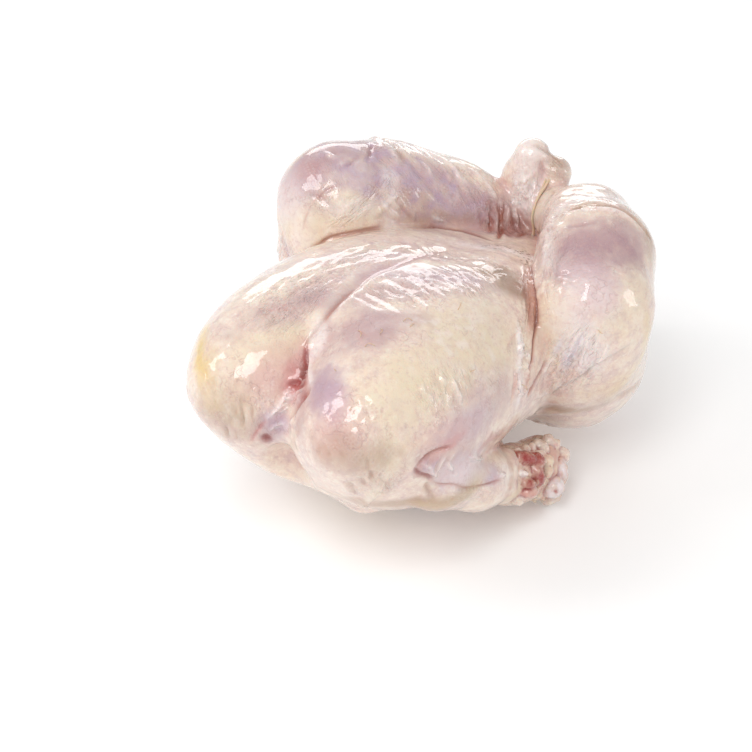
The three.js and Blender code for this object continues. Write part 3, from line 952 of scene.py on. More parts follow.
# %% Choose them by their distance to the folds
ALL_WIDTH, ALL_REACH = 3.0, 1.6              # folds narrower than this in mm, reach in widths
SHOWN_WIDTHS, SHOWN_REACH = (1.15, 0.75), 1.5
GRAZING = 0.12         # cosine from which a face counts as turned to the camera


def near_fold(p, f, reach):
    """The vertices near a fold's line, and which of its places each of them is nearest to."""
    places = f["line"][0].astype(np.float32)
    inside = ((p > places.min(0) - reach) & (p < places.max(0) + reach)).all(axis=1)
    index = np.flatnonzero(inside)
    if not len(index):
        return index, index
    gap2 = ((p[index, None] - places[None]) ** 2).sum(axis=2)
    nearest = gap2.argmin(axis=1)
    close = gap2[np.arange(len(index)), nearest] < reach * reach
    return index[close], nearest[close]


def beside_folds(p, narrower, reach, shown_only):
    """Which places lie near a fold that is narrower than this."""
    chosen = np.zeros(len(p), dtype=bool)
    for f in folds:
        if f["width"] < narrower and (f["shown"] or not shown_only):
            chosen[near_fold(p, f, reach * f["width"])[0]] = True
    return chosen


def facing_camera(field, p):
    """Which places face the camera."""
    slope = slope_at(field, p)
    return slope @ dots(*BACK) > GRAZING * np.linalg.norm(slope, axis=1)


# %% Split them, and ease the whole skin again
rims = []
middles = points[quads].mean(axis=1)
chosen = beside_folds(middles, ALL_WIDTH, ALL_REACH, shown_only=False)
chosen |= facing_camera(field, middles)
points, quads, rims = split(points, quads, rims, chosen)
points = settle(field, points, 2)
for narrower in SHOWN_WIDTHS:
    middles = points[quads].mean(axis=1)
    chosen = beside_folds(middles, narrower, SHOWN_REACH, shown_only=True)
    points, quads, rims = split(points, quads, rims, chosen)
edges = edges_of(quads, rims)
points = ease(field, points, edges, 2)
triangles = 2 * len(quads) + sum(len(loop) - 2 for loop in rims)
print(len(points), "vertices,", len(rims), "rims,", triangles, "triangles")

# %% [markdown]
# ## Press the folds into the skin
#
# Every fold moves the vertices beside it along the skin's own direction. What differs is the
# profile across the line: a groove dips, a ridge rises, a crack dips sharply, a lip stands up on
# one side only, and a bead is a ridge that swells and shrinks along its way. At its ends a fold
# fades out.

# %% Smooth random values
TABLE_SIZE = 4096
SCATTER = (73856093, 19349663, 83492791)   # large primes, so that next cells get far names


def noise(p, size, seed):
    """Values from -1 to 1 that change smoothly over `size` millimetres."""
    q = p / size
    cell = np.floor(q).astype(np.int64)
    f = q - cell
    f = f * f * (3 - 2 * f)
    table = np.random.default_rng(seed).uniform(-1, 1, TABLE_SIZE)
    total = np.zeros(len(p))
    for corner in np.ndindex(2, 2, 2):
        scattered = (cell + np.array(corner)) * SCATTER
        name = (scattered[:, 0] ^ scattered[:, 1] ^ scattered[:, 2]) % TABLE_SIZE
        total += table[name] * np.prod(np.where(corner, f, 1 - f), axis=1)
    return total


print("noise at three places:", noise(np.eye(3) * 5, 4.0, 1).round(2))

# %% Profiles across a fold


def profile(shape, u, along):
    """Height at u widths to the left of the line; `along` is in millimetres."""
    round_ = np.exp(-u * u)
    if shape == "groove":                  # with a low bank on either side
        return round_ - 0.25 * np.exp(-(np.abs(u) - 2) ** 2)
    if shape == "crack":                   # sharp at its bottom
        return np.exp(-np.abs(u) * 1.3)
    if shape == "lip":                     # steep on one side, long on the other
        return np.exp(-np.maximum(u, 0) * 0.7) / (1 + np.exp(-6 * u))
    if shape == "bead":                    # swells and shrinks along its way
        return round_ * (0.65 + 0.35 * np.sin(along * 1.9) * np.cos(along * 0.7 + 1))
    return round_


across_groove = profile("groove", np.arange(-3.0, 4.0), 0)
print("across a groove:", across_groove.round(2))

# %% Tones and relief, one value for each vertex
TONES = ["fat", "yellow", "flesh", "lilac", "cool", "tan", "rust", "pink", "blood", "shade",
         "pale", "wet", "specks"]
FOLD_REACH = 3.5              # widths to either side that a fold still moves
FOLD_FACING = (-0.4, 0.3)     # a fold fades where the skin turns away, between these cosines
tones = {name: np.zeros(len(points), dtype=np.float32) for name in TONES}
relief = np.zeros(len(points), dtype=np.float32)
normals = slope_at(field, points)
normals /= np.maximum(np.linalg.norm(normals, axis=1), 1e-6)[:, None]


def add_tone(name, index, amount):
    """Lay a tone over what is there: two half covers make three quarters."""
    tones[name][index] = 1 - (1 - tones[name][index]) * (1 - np.clip(amount, 0, 1))


# %% Press the folds in
for f in folds:
    places, directions = f["line"]
    index, nearest = near_fold(points, f, FOLD_REACH * f["width"])
    if not len(index):
        continue
    tangents = np.gradient(places, axis=0)
    tangents /= np.maximum(np.linalg.norm(tangents, axis=1), 1e-6)[:, None]
    sides = np.cross(directions, tangents)
    away = points[index] - places[nearest]
    u = (away * sides[nearest]).sum(axis=1) / f["width"]
    along = nearest * LINE_STEP + (away * tangents[nearest]).sum(axis=1)
    length = (len(places) - 1) * LINE_STEP
    facing = (normals[index] * directions[nearest]).sum(axis=1)
    ends = ramp(along, -1, f["fade"]) * ramp(length - along, -1, f["fade"])
    ends = ends * ramp(facing, *FOLD_FACING)
    relief[index] += f["height"] * profile(f["shape"], u, along) * ends
    if f["tone"]:
        cover = np.exp(-(u / f["spread"]) ** 2) * ends
        add_tone(f["tone"], index, f["amount"] * cover)
print("relief from", round(float(relief.min()), 1), "to", round(float(relief.max()), 1), "mm")

# %% [markdown]
# ## Gathered skin
#
# Where loose skin is drawn together it lies in many small wrinkles that run one way, far too
# many to draw one by one. Noise makes them: it is read in the patch's own frame, stretched along
# its way and tight across it, and a crest stands where the noise passes through zero. The finest
# wrinkles are left to the material, which gets the patch's frame as two attributes.

# %% Press the gathered patches in
PATCH_RIM = (-1.25, -0.4)     # a patch fades out between 0.4 and 1.25 of its half size
PATCH_FACING = (-0.1, 0.4)    # and where the skin turns away, between these cosines
WAVER_SIZE, WAVER = 9.0, 0.8  # the wrinkles wander 0.8 mm over 9 mm
CREST, TROUGH = 0.35, 1.6     # shares of a wrinkle's height above and below the skin
THROUGH = 40                  # mm through the patch over which its pattern changes
stretch = {name: np.zeros(len(points), dtype=np.float32) for name in ("run", "side", "fine")}
strongest, second = np.zeros(len(points)), np.zeros(len(points))
for number, g in enumerate(gathers):
    away = points - g["spot"]
    run, side = away @ g["way"], away @ g["aside"]
    size = np.sqrt((run / g["along"]) ** 2 + (side / g["across"]) ** 2
                   + (away @ g["normal"] / max(g["along"], g["across"])) ** 2)
    cover = ramp(-size, *PATCH_RIM) * ramp(normals @ g["normal"], *PATCH_FACING)
    side = side + WAVER * noise(points, WAVER_SIZE, 61)
    place = np.stack([run / g["length"], side / g["width"], away @ g["normal"] / THROUGH], 1)
    crest = CREST - TROUGH * np.abs(noise(place, 1.0, 100 + number))
    relief += (g["height"] * cover * crest).astype(np.float32)
    fine = cover * g["fine"]
    stronger = fine > strongest
    second = np.where(stronger, strongest, np.maximum(second, fine))
    strongest = np.maximum(strongest, fine)
    stretch["run"][stronger] = run[stronger]
    stretch["side"][stronger] = side[stronger]
# Where two patches meet, neither frame fits, so the finest wrinkles fade out there.
stretch["fine"][:] = np.clip(2.5 * (strongest - second), 0, strongest)
print("with gathers from", round(float(relief.min()), 1), "to", round(float(relief.max()), 1), "mm")

# %% [markdown]
# ## What shines through the skin
#
# Raw skin is thin and clear, so its colour is that of what lies under it: cream fat, mauve
# flesh, lilac where the flesh is covered by a tight white membrane, pink where blood has
# gathered. Not every dab is such a colour: pale dabs are partly painted highlight and sheen,
# and tan dabs partly painted shade on undersides and lower edges. In texture paint these would
# be soft dabs of a brush. A dab here is an oval on the skin, and noise on its rim keeps it from
# looking stamped.

# %% Dabs of tone
DAB_SHARE = {"lilac": 0.75, "cool": 0.7, "flesh": 0.85}     # these tones lie thinner in all
DAB_RIM = (-1.5, -0.35)       # a dab fades out between 0.35 and 1.5 of its half size
DAB_FACING = (-0.2, 0.3)      # and where the skin turns away, between these cosines
SPOTS = (-0.05, 0.4)          # values of the grain between which a spot's rim lies
RIM_NOISE = ((8.0, 0.30), (3.5, 0.20), (1.6, 0.12))      # size in mm, share of a half size
WHOLE_RIM = 8                 # mm of half size from which a dab's rim has all its noise

rim_noise = sum(share * noise(points, size, 3 + number)
                for number, (size, share) in enumerate(RIM_NOISE))


def dab(name, centre, across, down, amount, turn=0.0, grain=0.0, twin=False):
    """A soft oval: `across` and `down` are its half sizes in mm, `turn` is in degrees.

    With a grain it breaks up into spots of about that size in mm.
    """
    places = [seen(centre) if len(centre) == 2 else np.array(centre, dtype=float)]
    if twin:
        places.append(places[0] * (-1, 1, 1))
    for place in places:
        spot, normal, _, _ = draft.find_nearest(Vector(place))
        spot, normal = np.array(spot), np.array(normal)
        level = RIGHT - normal * (RIGHT @ normal)
        level /= max(np.linalg.norm(level), 1e-6)
        a = np.radians(turn)
        first = level * np.cos(a) + np.cross(normal, level) * np.sin(a)
        second = np.cross(normal, first)
        away = points - spot
        size = np.sqrt(((away @ first) / across) ** 2 + ((away @ second) / down) ** 2
                       + ((away @ normal) / max(across, down)) ** 2)
        size += rim_noise * min(1.0, max(across, down) / WHOLE_RIM)
        cover = ramp(-size, *DAB_RIM) * ramp(normals @ normal, *DAB_FACING)
        if grain:
            cover *= ramp(noise(points, grain, 50 + len(name)), *SPOTS)
        add_tone(name, slice(None), amount * DAB_SHARE.get(name, 1.0) * cover)


# %% The near side of the breast and the neck
NEAR_BREAST = [      # tone, centre, across, down, amount, turn, grain
    ("fat", (470, 335), 24, 17, 0.7),
    ("pale", (455, 335), 26, 20, 0.35, 0, 3.0),
    ("fat", (430, 372), 18, 14, 0.7),
    ("fat", (392, 400), 14, 16, 0.7),
    ("fat", (500, 345), 8, 18, 0.5),
    ("flesh", (366, 330), 18, 13, 0.8, 20),
    ("flesh", (395, 318), 12, 8, 0.45),
    ("flesh", (415, 288), 26, 9, 0.6, 20),
    ("lilac", (430, 272), 28, 8, 0.6, 10),
    ("lilac", (325, 390), 8, 16, 0.6),
    ("flesh", (321, 390), 7, 12, 1.0),
    ("flesh", (321, 388), 6, 9, 0.6),
    ("lilac", (332, 402), 6, 7, 0.4),
    # Pale at the crease lip is painted glint.
    ("pale", (318, 338), 3, 8, 0.6),
    ("flesh", (484, 410), 19, 12, 0.5, 20),
    ("lilac", (470, 424), 14, 7, 0.5),
    ("flesh", (505, 385), 7, 10, 0.35),
    ("tan", (507, 279), 10, 10, 1.0),
    ("shade", (512, 280), 7, 9, 0.3),
    ("tan", (496, 274), 11, 4, 0.8),
    ("flesh", (490, 283), 8, 5, 0.4),
    ("pale", (502, 249), 20, 5, 0.8),
    ("pink", (332, 432), 12, 12, 0.3),
    # Tan low on the front and by the flap is painted shade.
    ("tan", (345, 455), 16, 8, 0.7),
    ("tan", (372, 472), 8, 9, 0.3),
    ("fat", (393, 455), 10, 10, 0.5),
    ("pink", (440, 436), 14, 5, 0.2),
    ("flesh", (431, 452), 10, 5, 0.4),
    ("lilac", (370, 255), 30, 6, 0.4, 15),
]

for tone in NEAR_BREAST:
    dab(*tone)
print(len(NEAR_BREAST), "dabs on the near breast")

# %% The far side of the breast
FAR_BREAST = [      # tone, centre, across, down, amount, turn, grain
    ("yellow", (199, 350), 4, 15, 1.0),
    ("yellow", (204, 335), 4, 7, 0.6),
    ("yellow", (206, 372), 5, 12, 0.3),
    ("fat", (262, 345), 17, 8, 0.7, 25),
    ("fat", (228, 398), 12, 12, 0.6),
    ("flesh", (282, 311), 22, 7, 0.5, 24),
    ("flesh", (318, 292), 12, 5, 0.5, 30),
    ("pink", (284, 370), 12, 11, 0.28),
    ("pink", (268, 384), 14, 9, 0.2),
    ("pink", (303, 356), 2.5, 8, 0.3),
    ("fat", (300, 336), 6, 6, 0.4),
    # Tan low on the far breast's front is painted shade.
    ("tan", (232, 425), 13, 12, 0.45),
    ("tan", (208, 400), 8, 16, 0.25),
]

for tone in FAR_BREAST:
    dab(*tone)
print(len(FAR_BREAST), "dabs on the far breast")

# %% The crack and the torn skin beside it
TORN_SKIN = [      # tone, centre, across, down, amount, turn, grain
    ("lilac", (276, 420), 6, 5, 1.0),
    ("lilac", (268, 430), 7, 6, 0.6),
    ("pink", (298, 386), 5, 5, 0.7),
    ("blood", (303, 392), 2.5, 6, 0.6),
    ("flesh", (298, 394), 5, 8, 0.6),
    ("blood", (305.5, 366), 1.2, 8, 0.9),
    ("blood", (302, 381), 2.0, 4.5, 1.0),
    ("shade", (303, 379), 1.8, 6, 0.45),
    ("pink", (301, 372), 3.5, 9, 0.35),
    ("pink", (296, 380), 5, 6, 0.6),
    ("blood", (297, 384), 3.2, 2.6, 0.7),
    ("flesh", (267, 438), 2.4, 2.6, 1.0),
    ("blood", (267, 438), 2.0, 2.2, 0.6),
    ("shade", (267, 438), 2.0, 2.2, 0.3),
    ("flesh", (300, 420), 5, 9, 0.6),
    ("wet", (288, 406), 8, 14, 1.0),
]

for tone in TORN_SKIN:
    dab(*tone)
print(len(TORN_SKIN), "dabs round the crack")

# %% The near leg's own tones, and the gap beside it
NEAR_GAP = [      # tone, centre, across, down, amount, turn, grain
    ("wet", (522, 365), 4, 20, 0.8),
    ("fat", (522, 345), 5, 10, 0.7),
    # Pale on the wet strip is painted highlight.
    ("pale", (521, 346), 2.5, 10, 0.9),
    ("pale", (520, 382), 2.5, 9, 0.9),
    ("specks", (514, 250), 14, 5, 1.0),
    ("specks", (527, 258), 4, 10, 1.0),
    ("specks", (490, 262), 14, 2, 0.6),
    ("cool", (578, 348), 8, 14, 0.5, 35),
]

for tone in NEAR_GAP:
    dab(*tone)
print(len(NEAR_GAP), "dabs at the gap")

# %% Both legs alike
BOTH_LEGS = [      # tone, centre, across, down, amount, turn, grain
    ("flesh", (592, 240), 18, 10, 1.0, -8),
    ("flesh", (588, 256), 12, 9, 0.7),
    ("flesh", (630, 236), 8, 9, 0.6),
    ("lilac", (590, 286), 13, 11, 0.55),
    # Pale on the knee's front is partly painted highlight.
    ("pale", (584, 292), 13, 11, 0.35),
    ("pink", (592, 292), 9, 7, 0.15),
    ("pink", (585, 268), 8, 6, 0.15),
    # Tan on the leg's right rim is painted shade.
    ("tan", (650, 240), 4, 10, 0.8),
    ("flesh", (585, 268), 16, 9, 0.6),
    ("fat", (553, 318), 8, 15, 0.6),
    ("fat", (638, 300), 9, 14, 0.5),
    ("fat", (610, 330), 10, 7, 0.35),
    ("yellow", (624, 382), 15, 9, 0.45),
    ("yellow", (647, 335), 4, 12, 0.55),
    ("pale", (600, 352), 7, 9, 0.4),
    # Tan on the leg's underside is painted shade.
    ("tan", (560, 409), 22, 4, 0.8),
    ("tan", (610, 396), 12, 4, 0.4),
    # Pale on the leg's top is painted sheen, and pale along its left edge painted highlight.
    ("pale", (590, 196), 20, 5, 0.7),
    ("pale", (547, 245), 4, 14, 0.5),
    ("flesh", (595, 245), 22, 12, 0.5, 0, 3.4),
    ("fat", (600, 240), 20, 10, 0.35, 0, 3.0),
]

for tone in BOTH_LEGS:
    dab(*tone, twin=True)
print(len(BOTH_LEGS), "paired dabs on the legs")

# %% The far leg and the tied ankle
FAR_LEG = [      # tone, centre, across, down, amount, turn, grain
    ("flesh", (311, 172), 8, 12, 0.8),
    ("flesh", (343, 150), 12, 5, 0.55),
    ("lilac", (358, 172), 12, 9, 0.7),
    ("fat", (340, 210), 16, 6, 0.7),
    ("fat", (287, 222), 5, 12, 0.6),
    # Pale on the fat roll is painted highlight.
    ("pale", (352, 208), 12, 4, 0.5),
    ("pale", (300, 240), 6, 6, 0.4),
    ("flesh", (430, 192), 30, 14, 0.55, -12),
    ("lilac", (400, 172), 40, 18, 0.9, -15, 3.6),
    ("fat", (400, 186), 46, 18, 0.8, -15, 3.2),
    ("lilac", (450, 205), 24, 10, 0.7, -15, 4.0),
    ("lilac", (420, 178), 16, 8, 0.45),
    ("lilac", (455, 208), 14, 8, 0.45),
    ("flesh", (478, 215), 12, 10, 0.7),
    ("flesh", (500, 222), 9, 9, 0.6),
    ("flesh", (506, 220), 11, 10, 0.8),
    ("rust", (508, 226), 10, 9, 0.5),
    ("shade", (512, 230), 11, 8, 0.42),
    # Tan above the contact line is painted shade.
    ("tan", (440, 222), 22, 4, 0.4),
    # Pale on the knob's low side is painted light and glint.
    ("pale", (527, 188), 7, 10, 1.0),
    ("pale", (520, 184), 4, 7, 1.0),
    ("pale", (527, 158), 8, 12, 0.7),
    ("lilac", (532, 168), 5, 6, 0.35),
    ("tan", (558, 166), 5, 6, 0.7),
    ("pink", (541, 168), 2, 3, 0.4),
    ("wet", (524, 188), 9, 12, 1.0),
]

for tone in FAR_LEG:
    dab(*tone)
print(len(FAR_LEG), "dabs on the far leg and the ankle")

# %% Both wings alike
BOTH_WINGS = [      # tone, centre, across, down, amount, turn, grain
    ("lilac", (468, 466), 17, 7, 0.9),
    ("pale", (470, 468), 16, 6, 0.4),
    ("cool", (478, 470), 9, 5, 0.3),
    ("lilac", (487, 473), 9, 5, 0.8),
    ("flesh", (442, 464), 7, 5, 0.5),
    ("flesh", (463, 456), 7, 4, 0.5),
    ("flesh", (487, 474), 8, 5, 0.4),
    ("fat", (503, 466), 8, 7, 0.6),
    ("pink", (497, 474), 8, 5, 0.25, 0, 2.4),
    ("flesh", (424, 466), 4, 5, 0.7),
    ("pink", (441, 452), 10, 2.5, 0.5, 15),
    ("fat", (465, 495), 24, 4, 0.9),
    ("yellow", (465, 495), 22, 3, 0.25),
    ("fat", (510, 497), 14, 3, 0.7),
    ("pale", (505, 470), 6, 6, 0.5),
    # Tan along the bottom is painted shade.
    ("tan", (430, 506), 34, 5, 1.0),
]

for tone in BOTH_WINGS:
    dab(*tone, twin=True)
print(len(BOTH_WINGS), "paired dabs on the wings")

# %% The hidden back and rump, along the middle
BACK_MIDDLE = [      # tone, centre, across, down, amount, turn, grain
    ("fat", (0, 60, 2), 40, 26, 0.7),
    ("tan", (0, 104, 30), 14, 12, 0.5),
    ("pink", (0, 106, 52), 10, 8, 0.6),
    ("fat", (0, -50, 18), 24, 20, 0.5),
]

for tone in BACK_MIDDLE:
    dab(*tone)
print(len(BACK_MIDDLE), "dabs along the back")

# %% The hidden back and rump, on both sides
BACK_SIDES = [      # tone, centre, across, down, amount, turn, grain
    ("flesh", (30, 10, 8), 16, 24, 0.5),
    ("lilac", (40, 70, 20), 14, 14, 0.5),
    ("flesh", (56, 66, 74), 14, 10, 0.6),
    ("fat", (62, 60, 50), 12, 14, 0.5),
    ("yellow", (36, 92, 40), 9, 8, 0.4),
]

for tone in BACK_SIDES:
    dab(*tone, twin=True)
print(len(BACK_SIDES), "paired dabs on the back")

# %% Painted shade in the hollows, painted light on the ridges
SPREAD_ROUNDS = 4             # times that a vertex's depth is averaged with its neighbours'
DEEPEST = 98                  # percentile of depth that counts as a whole fold
HOLLOW_PAINTED_SHADE = 0.40
RIDGE_PAINTED_LIGHT = 0.30

softened = points + normals * relief[:, None]
hollows = ((neighbour_mean(softened, edges) - softened) * normals).sum(axis=1)[:, None]
for _ in range(SPREAD_ROUNDS):
    hollows = neighbour_mean(hollows, edges)
depth = hollows[:, 0] / np.percentile(np.abs(hollows), DEEPEST)
# Hollows get pink as painted shade, and ridges get pale as painted light.
add_tone("pink", slice(None), HOLLOW_PAINTED_SHADE * np.clip(depth, 0, 1))
add_tone("pale", slice(None), RIDGE_PAINTED_LIGHT * np.clip(-depth, 0, 1))
print({name: round(float(values.mean()), 3) for name, values in tones.items()})

# %% [markdown]
# ## Lumps, and then the mesh
#
# Fat and flesh under the skin are uneven, so the whole skin also swells and sinks a little. At
# the cut wings the skin has a wavy hem, and beyond it the mesh sinks into the arm, where the bare
# end covers it. Then the vertices become a mesh, and each tone becomes an attribute that the
# material can read.

# %% Where the skin ends on the cut wing
ELBOW_WAY = dots(0.115, 0.94, -0.32)       # the way the upper wing points, at the right elbow
HEM_BACK = 30.0                            # mm from the elbow back to the skin's hem
HEM_WAVE = (9.0, 4.5)                      # size and height of the hem's waves in mm
ARM_REACH = 4.0                            # mm from the arm within which the hem counts
WELL_BEFORE = -50.0                        # stands for every place away from the arm


def beyond_hem(p):
    """How far past the skin's wavy hem a place on either wing lies; negative before it."""
    right = p * dots(1, 1, 1)
    right[:, 0] = np.abs(p[:, 0])
    wave_size, wave_height = HEM_WAVE
    along = (right - dots(*WING_ELBOW)) @ ELBOW_WAY + HEM_BACK
    along = along + wave_height * noise(right, wave_size, 71)
    return np.where(wing(1)(right) < ARM_REACH, along, WELL_BEFORE)


# %% Swell and sink the skin
LUMPS = ((16.0, 0.45), (6.0, 0.16), (2.6, 0.07))       # size and height in mm
WET_SIZE, WET_HEIGHT = 2.4, 0.45                       # lumps of wet membrane, in mm
HEM_SINK = 1.7                                         # mm that the skin sinks past its hem
HEM_FADE = (-2.0, 4.0)                                 # mm past the hem where it does

for number, (lump_size, lump_height) in enumerate(LUMPS):
    relief += lump_height * noise(points, lump_size, 20 + number)
relief += WET_HEIGHT * tones["wet"] * noise(points, WET_SIZE, 31)
relief -= HEM_SINK * ramp(beyond_hem(points), *HEM_FADE)
points = points + normals * relief[:, None]
points[:, 2] = np.maximum(points[:, 2], FIELD_ORIGIN[2])
print("skin moved by up to", round(float(np.abs(relief).max()), 1), "mm")

# %% Make the mesh


def make_mesh(name, points, faces):
    """A smooth mesh object from field millimetres."""
    mesh = bpy.data.meshes.new(name)
    mesh.from_pydata(to_part(points).tolist(), [], faces)
    mesh.shade_smooth()
    piece = bpy.data.objects.new(name, mesh)
    scene.collection.objects.link(piece)
    return piece


def add_layers(piece, layers):
    """One attribute for each layer of values."""
    for name, values in layers.items():
        layer = piece.data.attributes.new(name, "FLOAT", "POINT")
        layer.data.foreach_set("value", values.astype(np.float32))


skin = make_mesh("skin", points, quads.tolist() + rims)
add_layers(skin, tones | stretch)
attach(skin, "root")
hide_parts("chicken")
print("skin:", len(skin.data.polygons), "faces,", len(skin.data.attributes), "attributes")

# %% [markdown]
# ## The cut end of the wing
#
# The wing is cut through the elbow and the skin has drawn back, so the end shows what is
# inside: red muscle, a white tendon, grains of fat, and the two smooth heads of the joint. It is
# a second field, drawn with finer faces: the same arm, a little thinner than its skin, with many
# small lumps pressed against each other. Blood colours the hollows between them, partly the
# cut's own blood and partly painted shade. Both wings are cut alike, so one mesh is mirrored.

# %% The lumps, by the pixel where each of them shows
AS_SEEN = np.stack([RIGHT, UP, BACK], axis=1).astype(np.float32)
FAT_BEADS = [((526, 449), 1.5), ((532, 447), 1.7), ((538, 444), 2.0), ((544, 448), 2.2),
             ((549, 441), 2.5), ((555, 444), 2.1), ((541, 454), 1.8), ((518, 451), 1.3),
             ((563, 455), 3.0)]
JOINT_HEADS = [((560, 470), (2.9, 4.6, 4.0)), ((553, 487), (4.5, 4.3, 4.6))]
MUSCLES = [((523, 458), (5.4, 2.6, 3.5), -8), ((535, 462), (4.0, 3.8, 3.8), 10),
           ((537, 474), (3.0, 4.8, 3.5), 18), ((527, 484), (3.4, 2.0, 2.7), -10)]
SINEWS = [((546, 462), (3.6, 2.8, 3.2), 20), ((548, 471), (2.2, 3.0, 2.6), -20),
          ((541, 482), (2.4, 1.8, 2.4), 30)]
TENDON_END = ((523.5, 473.5), (2.1, 1.1, 1.6), -12)
LOW_MUSCLE = ((527, 492), (4.6, 2.4, 3.2), -4)
LOW_FAT = [((557, 498), 3.0), ((548, 501), 2.6), ((518, 500), 2.4), ((509, 499), 2.2)]
GRAIN_CENTRE = (538, 492)
GRAIN_COUNT = 9
GRAIN_SPREAD = ((-9, -8), (9, 9))          # pixels to each side of the centre
GRAIN_RADII = (0.7, 1.1)
MARROW = (554.5, 490.5)

# %% The lumps as shapes


def lump(pixel, radii, tilt=0, out=0.35):
    """An ellipsoid just under the skin at a pixel; `out` is the share of it that stands out."""
    centre = seen(pixel) + BACK * radii[2] * (out * 2 - 1)
    return egg(centre, radii, AS_SEEN @ turned((0, 0, tilt)))


def same_size(radius):
    """The three radii of a ball."""
    return (radius, radius, radius)


lumps = []
for pixel, radii, tilt in MUSCLES:
    lumps.append(("rust", 0.4, lump(pixel, radii, tilt)))
    lumps.append(("blood", 1.0, lump(pixel, radii, tilt)))
for pixel, radii, tilt in SINEWS:
    lumps.append(("fat", 0.7, lump(pixel, radii, tilt)))
lumps.append(("pink", 0.6, lump(*LOW_MUSCLE)))
for pixel, radius in FAT_BEADS + LOW_FAT:
    lumps.append(("fat", 0.9, lump(pixel, same_size(radius))))
    lumps.append(("pale", 0.6, lump(pixel, same_size(radius))))
scatter = np.random.default_rng(8)
for _ in range(GRAIN_COUNT):
    pixel = np.array(GRAIN_CENTRE) + scatter.uniform(*GRAIN_SPREAD)
    lumps.append(("fat", 0.9, lump(pixel, same_size(scatter.uniform(*GRAIN_RADII)), out=0.5)))
for pixel, radii in JOINT_HEADS:
    lumps.append(("lilac", 0.7, lump(pixel, radii)))
    lumps.append(("cool", 0.6, lump(pixel, radii)))
    lumps.append(("pale", 0.7, lump(pixel, radii)))
lumps.append(("pale", 1.0, lump(*TENDON_END, out=0.6)))
print(len(lumps), "lumps, counted once for each tone")

# %% The field of the wing end
THINNER = 0.45                # mm that the bare arm lies below the skin
LUMP_MELT = 0.9               # softness of the creases between the lumps
HEM_OVERLAP = 2.0             # mm that the bare arm reaches in under the skin


def wing_end(p):
    """The bare arm and all its lumps, cut off behind the hem."""
    bare = wing(1)(p) + THINNER + 0.25 * noise(p, 2.0, 81)
    rough = 0.45 * noise(p, 2.2, 82) + 0.30 * noise(p, 1.1, 83)
    for _, _, shape in lumps:
        bare = melt(bare, shape(p) + rough, LUMP_MELT)
    return np.maximum(bare, -HEM_OVERLAP - beyond_hem(p)).astype(np.float32)


# %% Draw it
END_STEP = 0.85
END_LOW = np.array([34.0, -42.0, -1.0])
END_HIGH = np.array([76.0, 20.0, 46.0])

counts = np.ceil((END_HIGH - END_LOW) / END_STEP).astype(int) + 1
end_grid = grid_points(counts, END_STEP, END_LOW)
end_value = wing_end(end_grid.reshape(-1, 3)).reshape(counts)
end_points, end_quads = draw_net(end_value, END_LOW, END_STEP)
end_edges = edges_of(end_quads)
end_points = ease(wing_end, end_points, end_edges, 2)
print(len(end_points), "vertices on each wing end")

# %% Colour it
LUMP_RIM = (-0.9, 0.1)        # mm round a lump where its tone fades out
# The blood in a hollow is partly painted shade between the lumps.
HOLLOW_RIM = (0.05, 0.24)     # mm of depth between which blood covers a hollow
MARROW_RIM = (-1.3, -0.6)     # the marrow fades out between 0.6 and 1.3 mm from its middle
end_tones = {name: np.zeros(len(end_points)) for name in list(tones) + list(stretch)}


def cover_end(name, amount):
    """Lay a tone over the wing end."""
    end_tones[name] = 1 - (1 - end_tones[name]) * (1 - np.clip(amount, 0, 1))


end_tones["wet"] += 1.0
cover_end("fat", 0.8)
cover_end("pink", 0.2 + 0.35 * noise(end_points, 4.0, 83))
for name, amount, shape in lumps:
    covered = amount * ramp(-shape(end_points), *LUMP_RIM)
    if name in ("fat", "lilac"):
        for other in ("pink", "blood", "rust"):
            end_tones[other] *= 1 - covered
    cover_end(name, covered)
cover_end("pink", 0.05 + 0.5 * noise(end_points, 1.8, 84))
mean = neighbour_mean(neighbour_mean(end_points, end_edges), end_edges)
slope = slope_at(wing_end, end_points)
slope /= np.maximum(np.linalg.norm(slope, axis=1), 1e-6)[:, None]
hollow_depth = ((mean - end_points) * slope).sum(axis=1)
# Blood in the hollows: partly the cut's own blood, partly painted shade.
cover_end("blood", 0.85 * ramp(hollow_depth, *HOLLOW_RIM))
from_marrow = end_points - seen(MARROW)
from_marrow -= (from_marrow @ BACK)[:, None] * BACK
cover_end("blood", ramp(-np.linalg.norm(from_marrow, axis=1), *MARROW_RIM))
print("blood on the wing ends:", round(float(end_tones["blood"].mean()), 2))

# %% Make both ends
end_points[:, 2] = np.maximum(end_points[:, 2], FIELD_ORIGIN[2])
ends = []
for side, name in ((1, "wing_end_right"), (-1, "wing_end_left")):
    faces = end_quads if side == 1 else end_quads[:, ::-1]
    piece = make_mesh(name, end_points * dots(side, 1, 1), faces.tolist())
    add_layers(piece, end_tones)
    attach(piece, "root")
    ends.append(piece)
print([piece.name for piece in ends])

# %% [markdown]
# ## The elastic tie
#
# A thin elastic holds the ankles together. A curve with a round bevel would do, but the loop
# must lie on the skin all the way round. So its points are found as in the solid: rays go out
# from the middle of the crossed ankles until they leave the flesh. The band has two strands,
# which part a little where they cross the ankle.

# %% A tube along places
NEVER_ALONG = (0.31, 0.17, 0.94)           # a direction that no tube here runs in


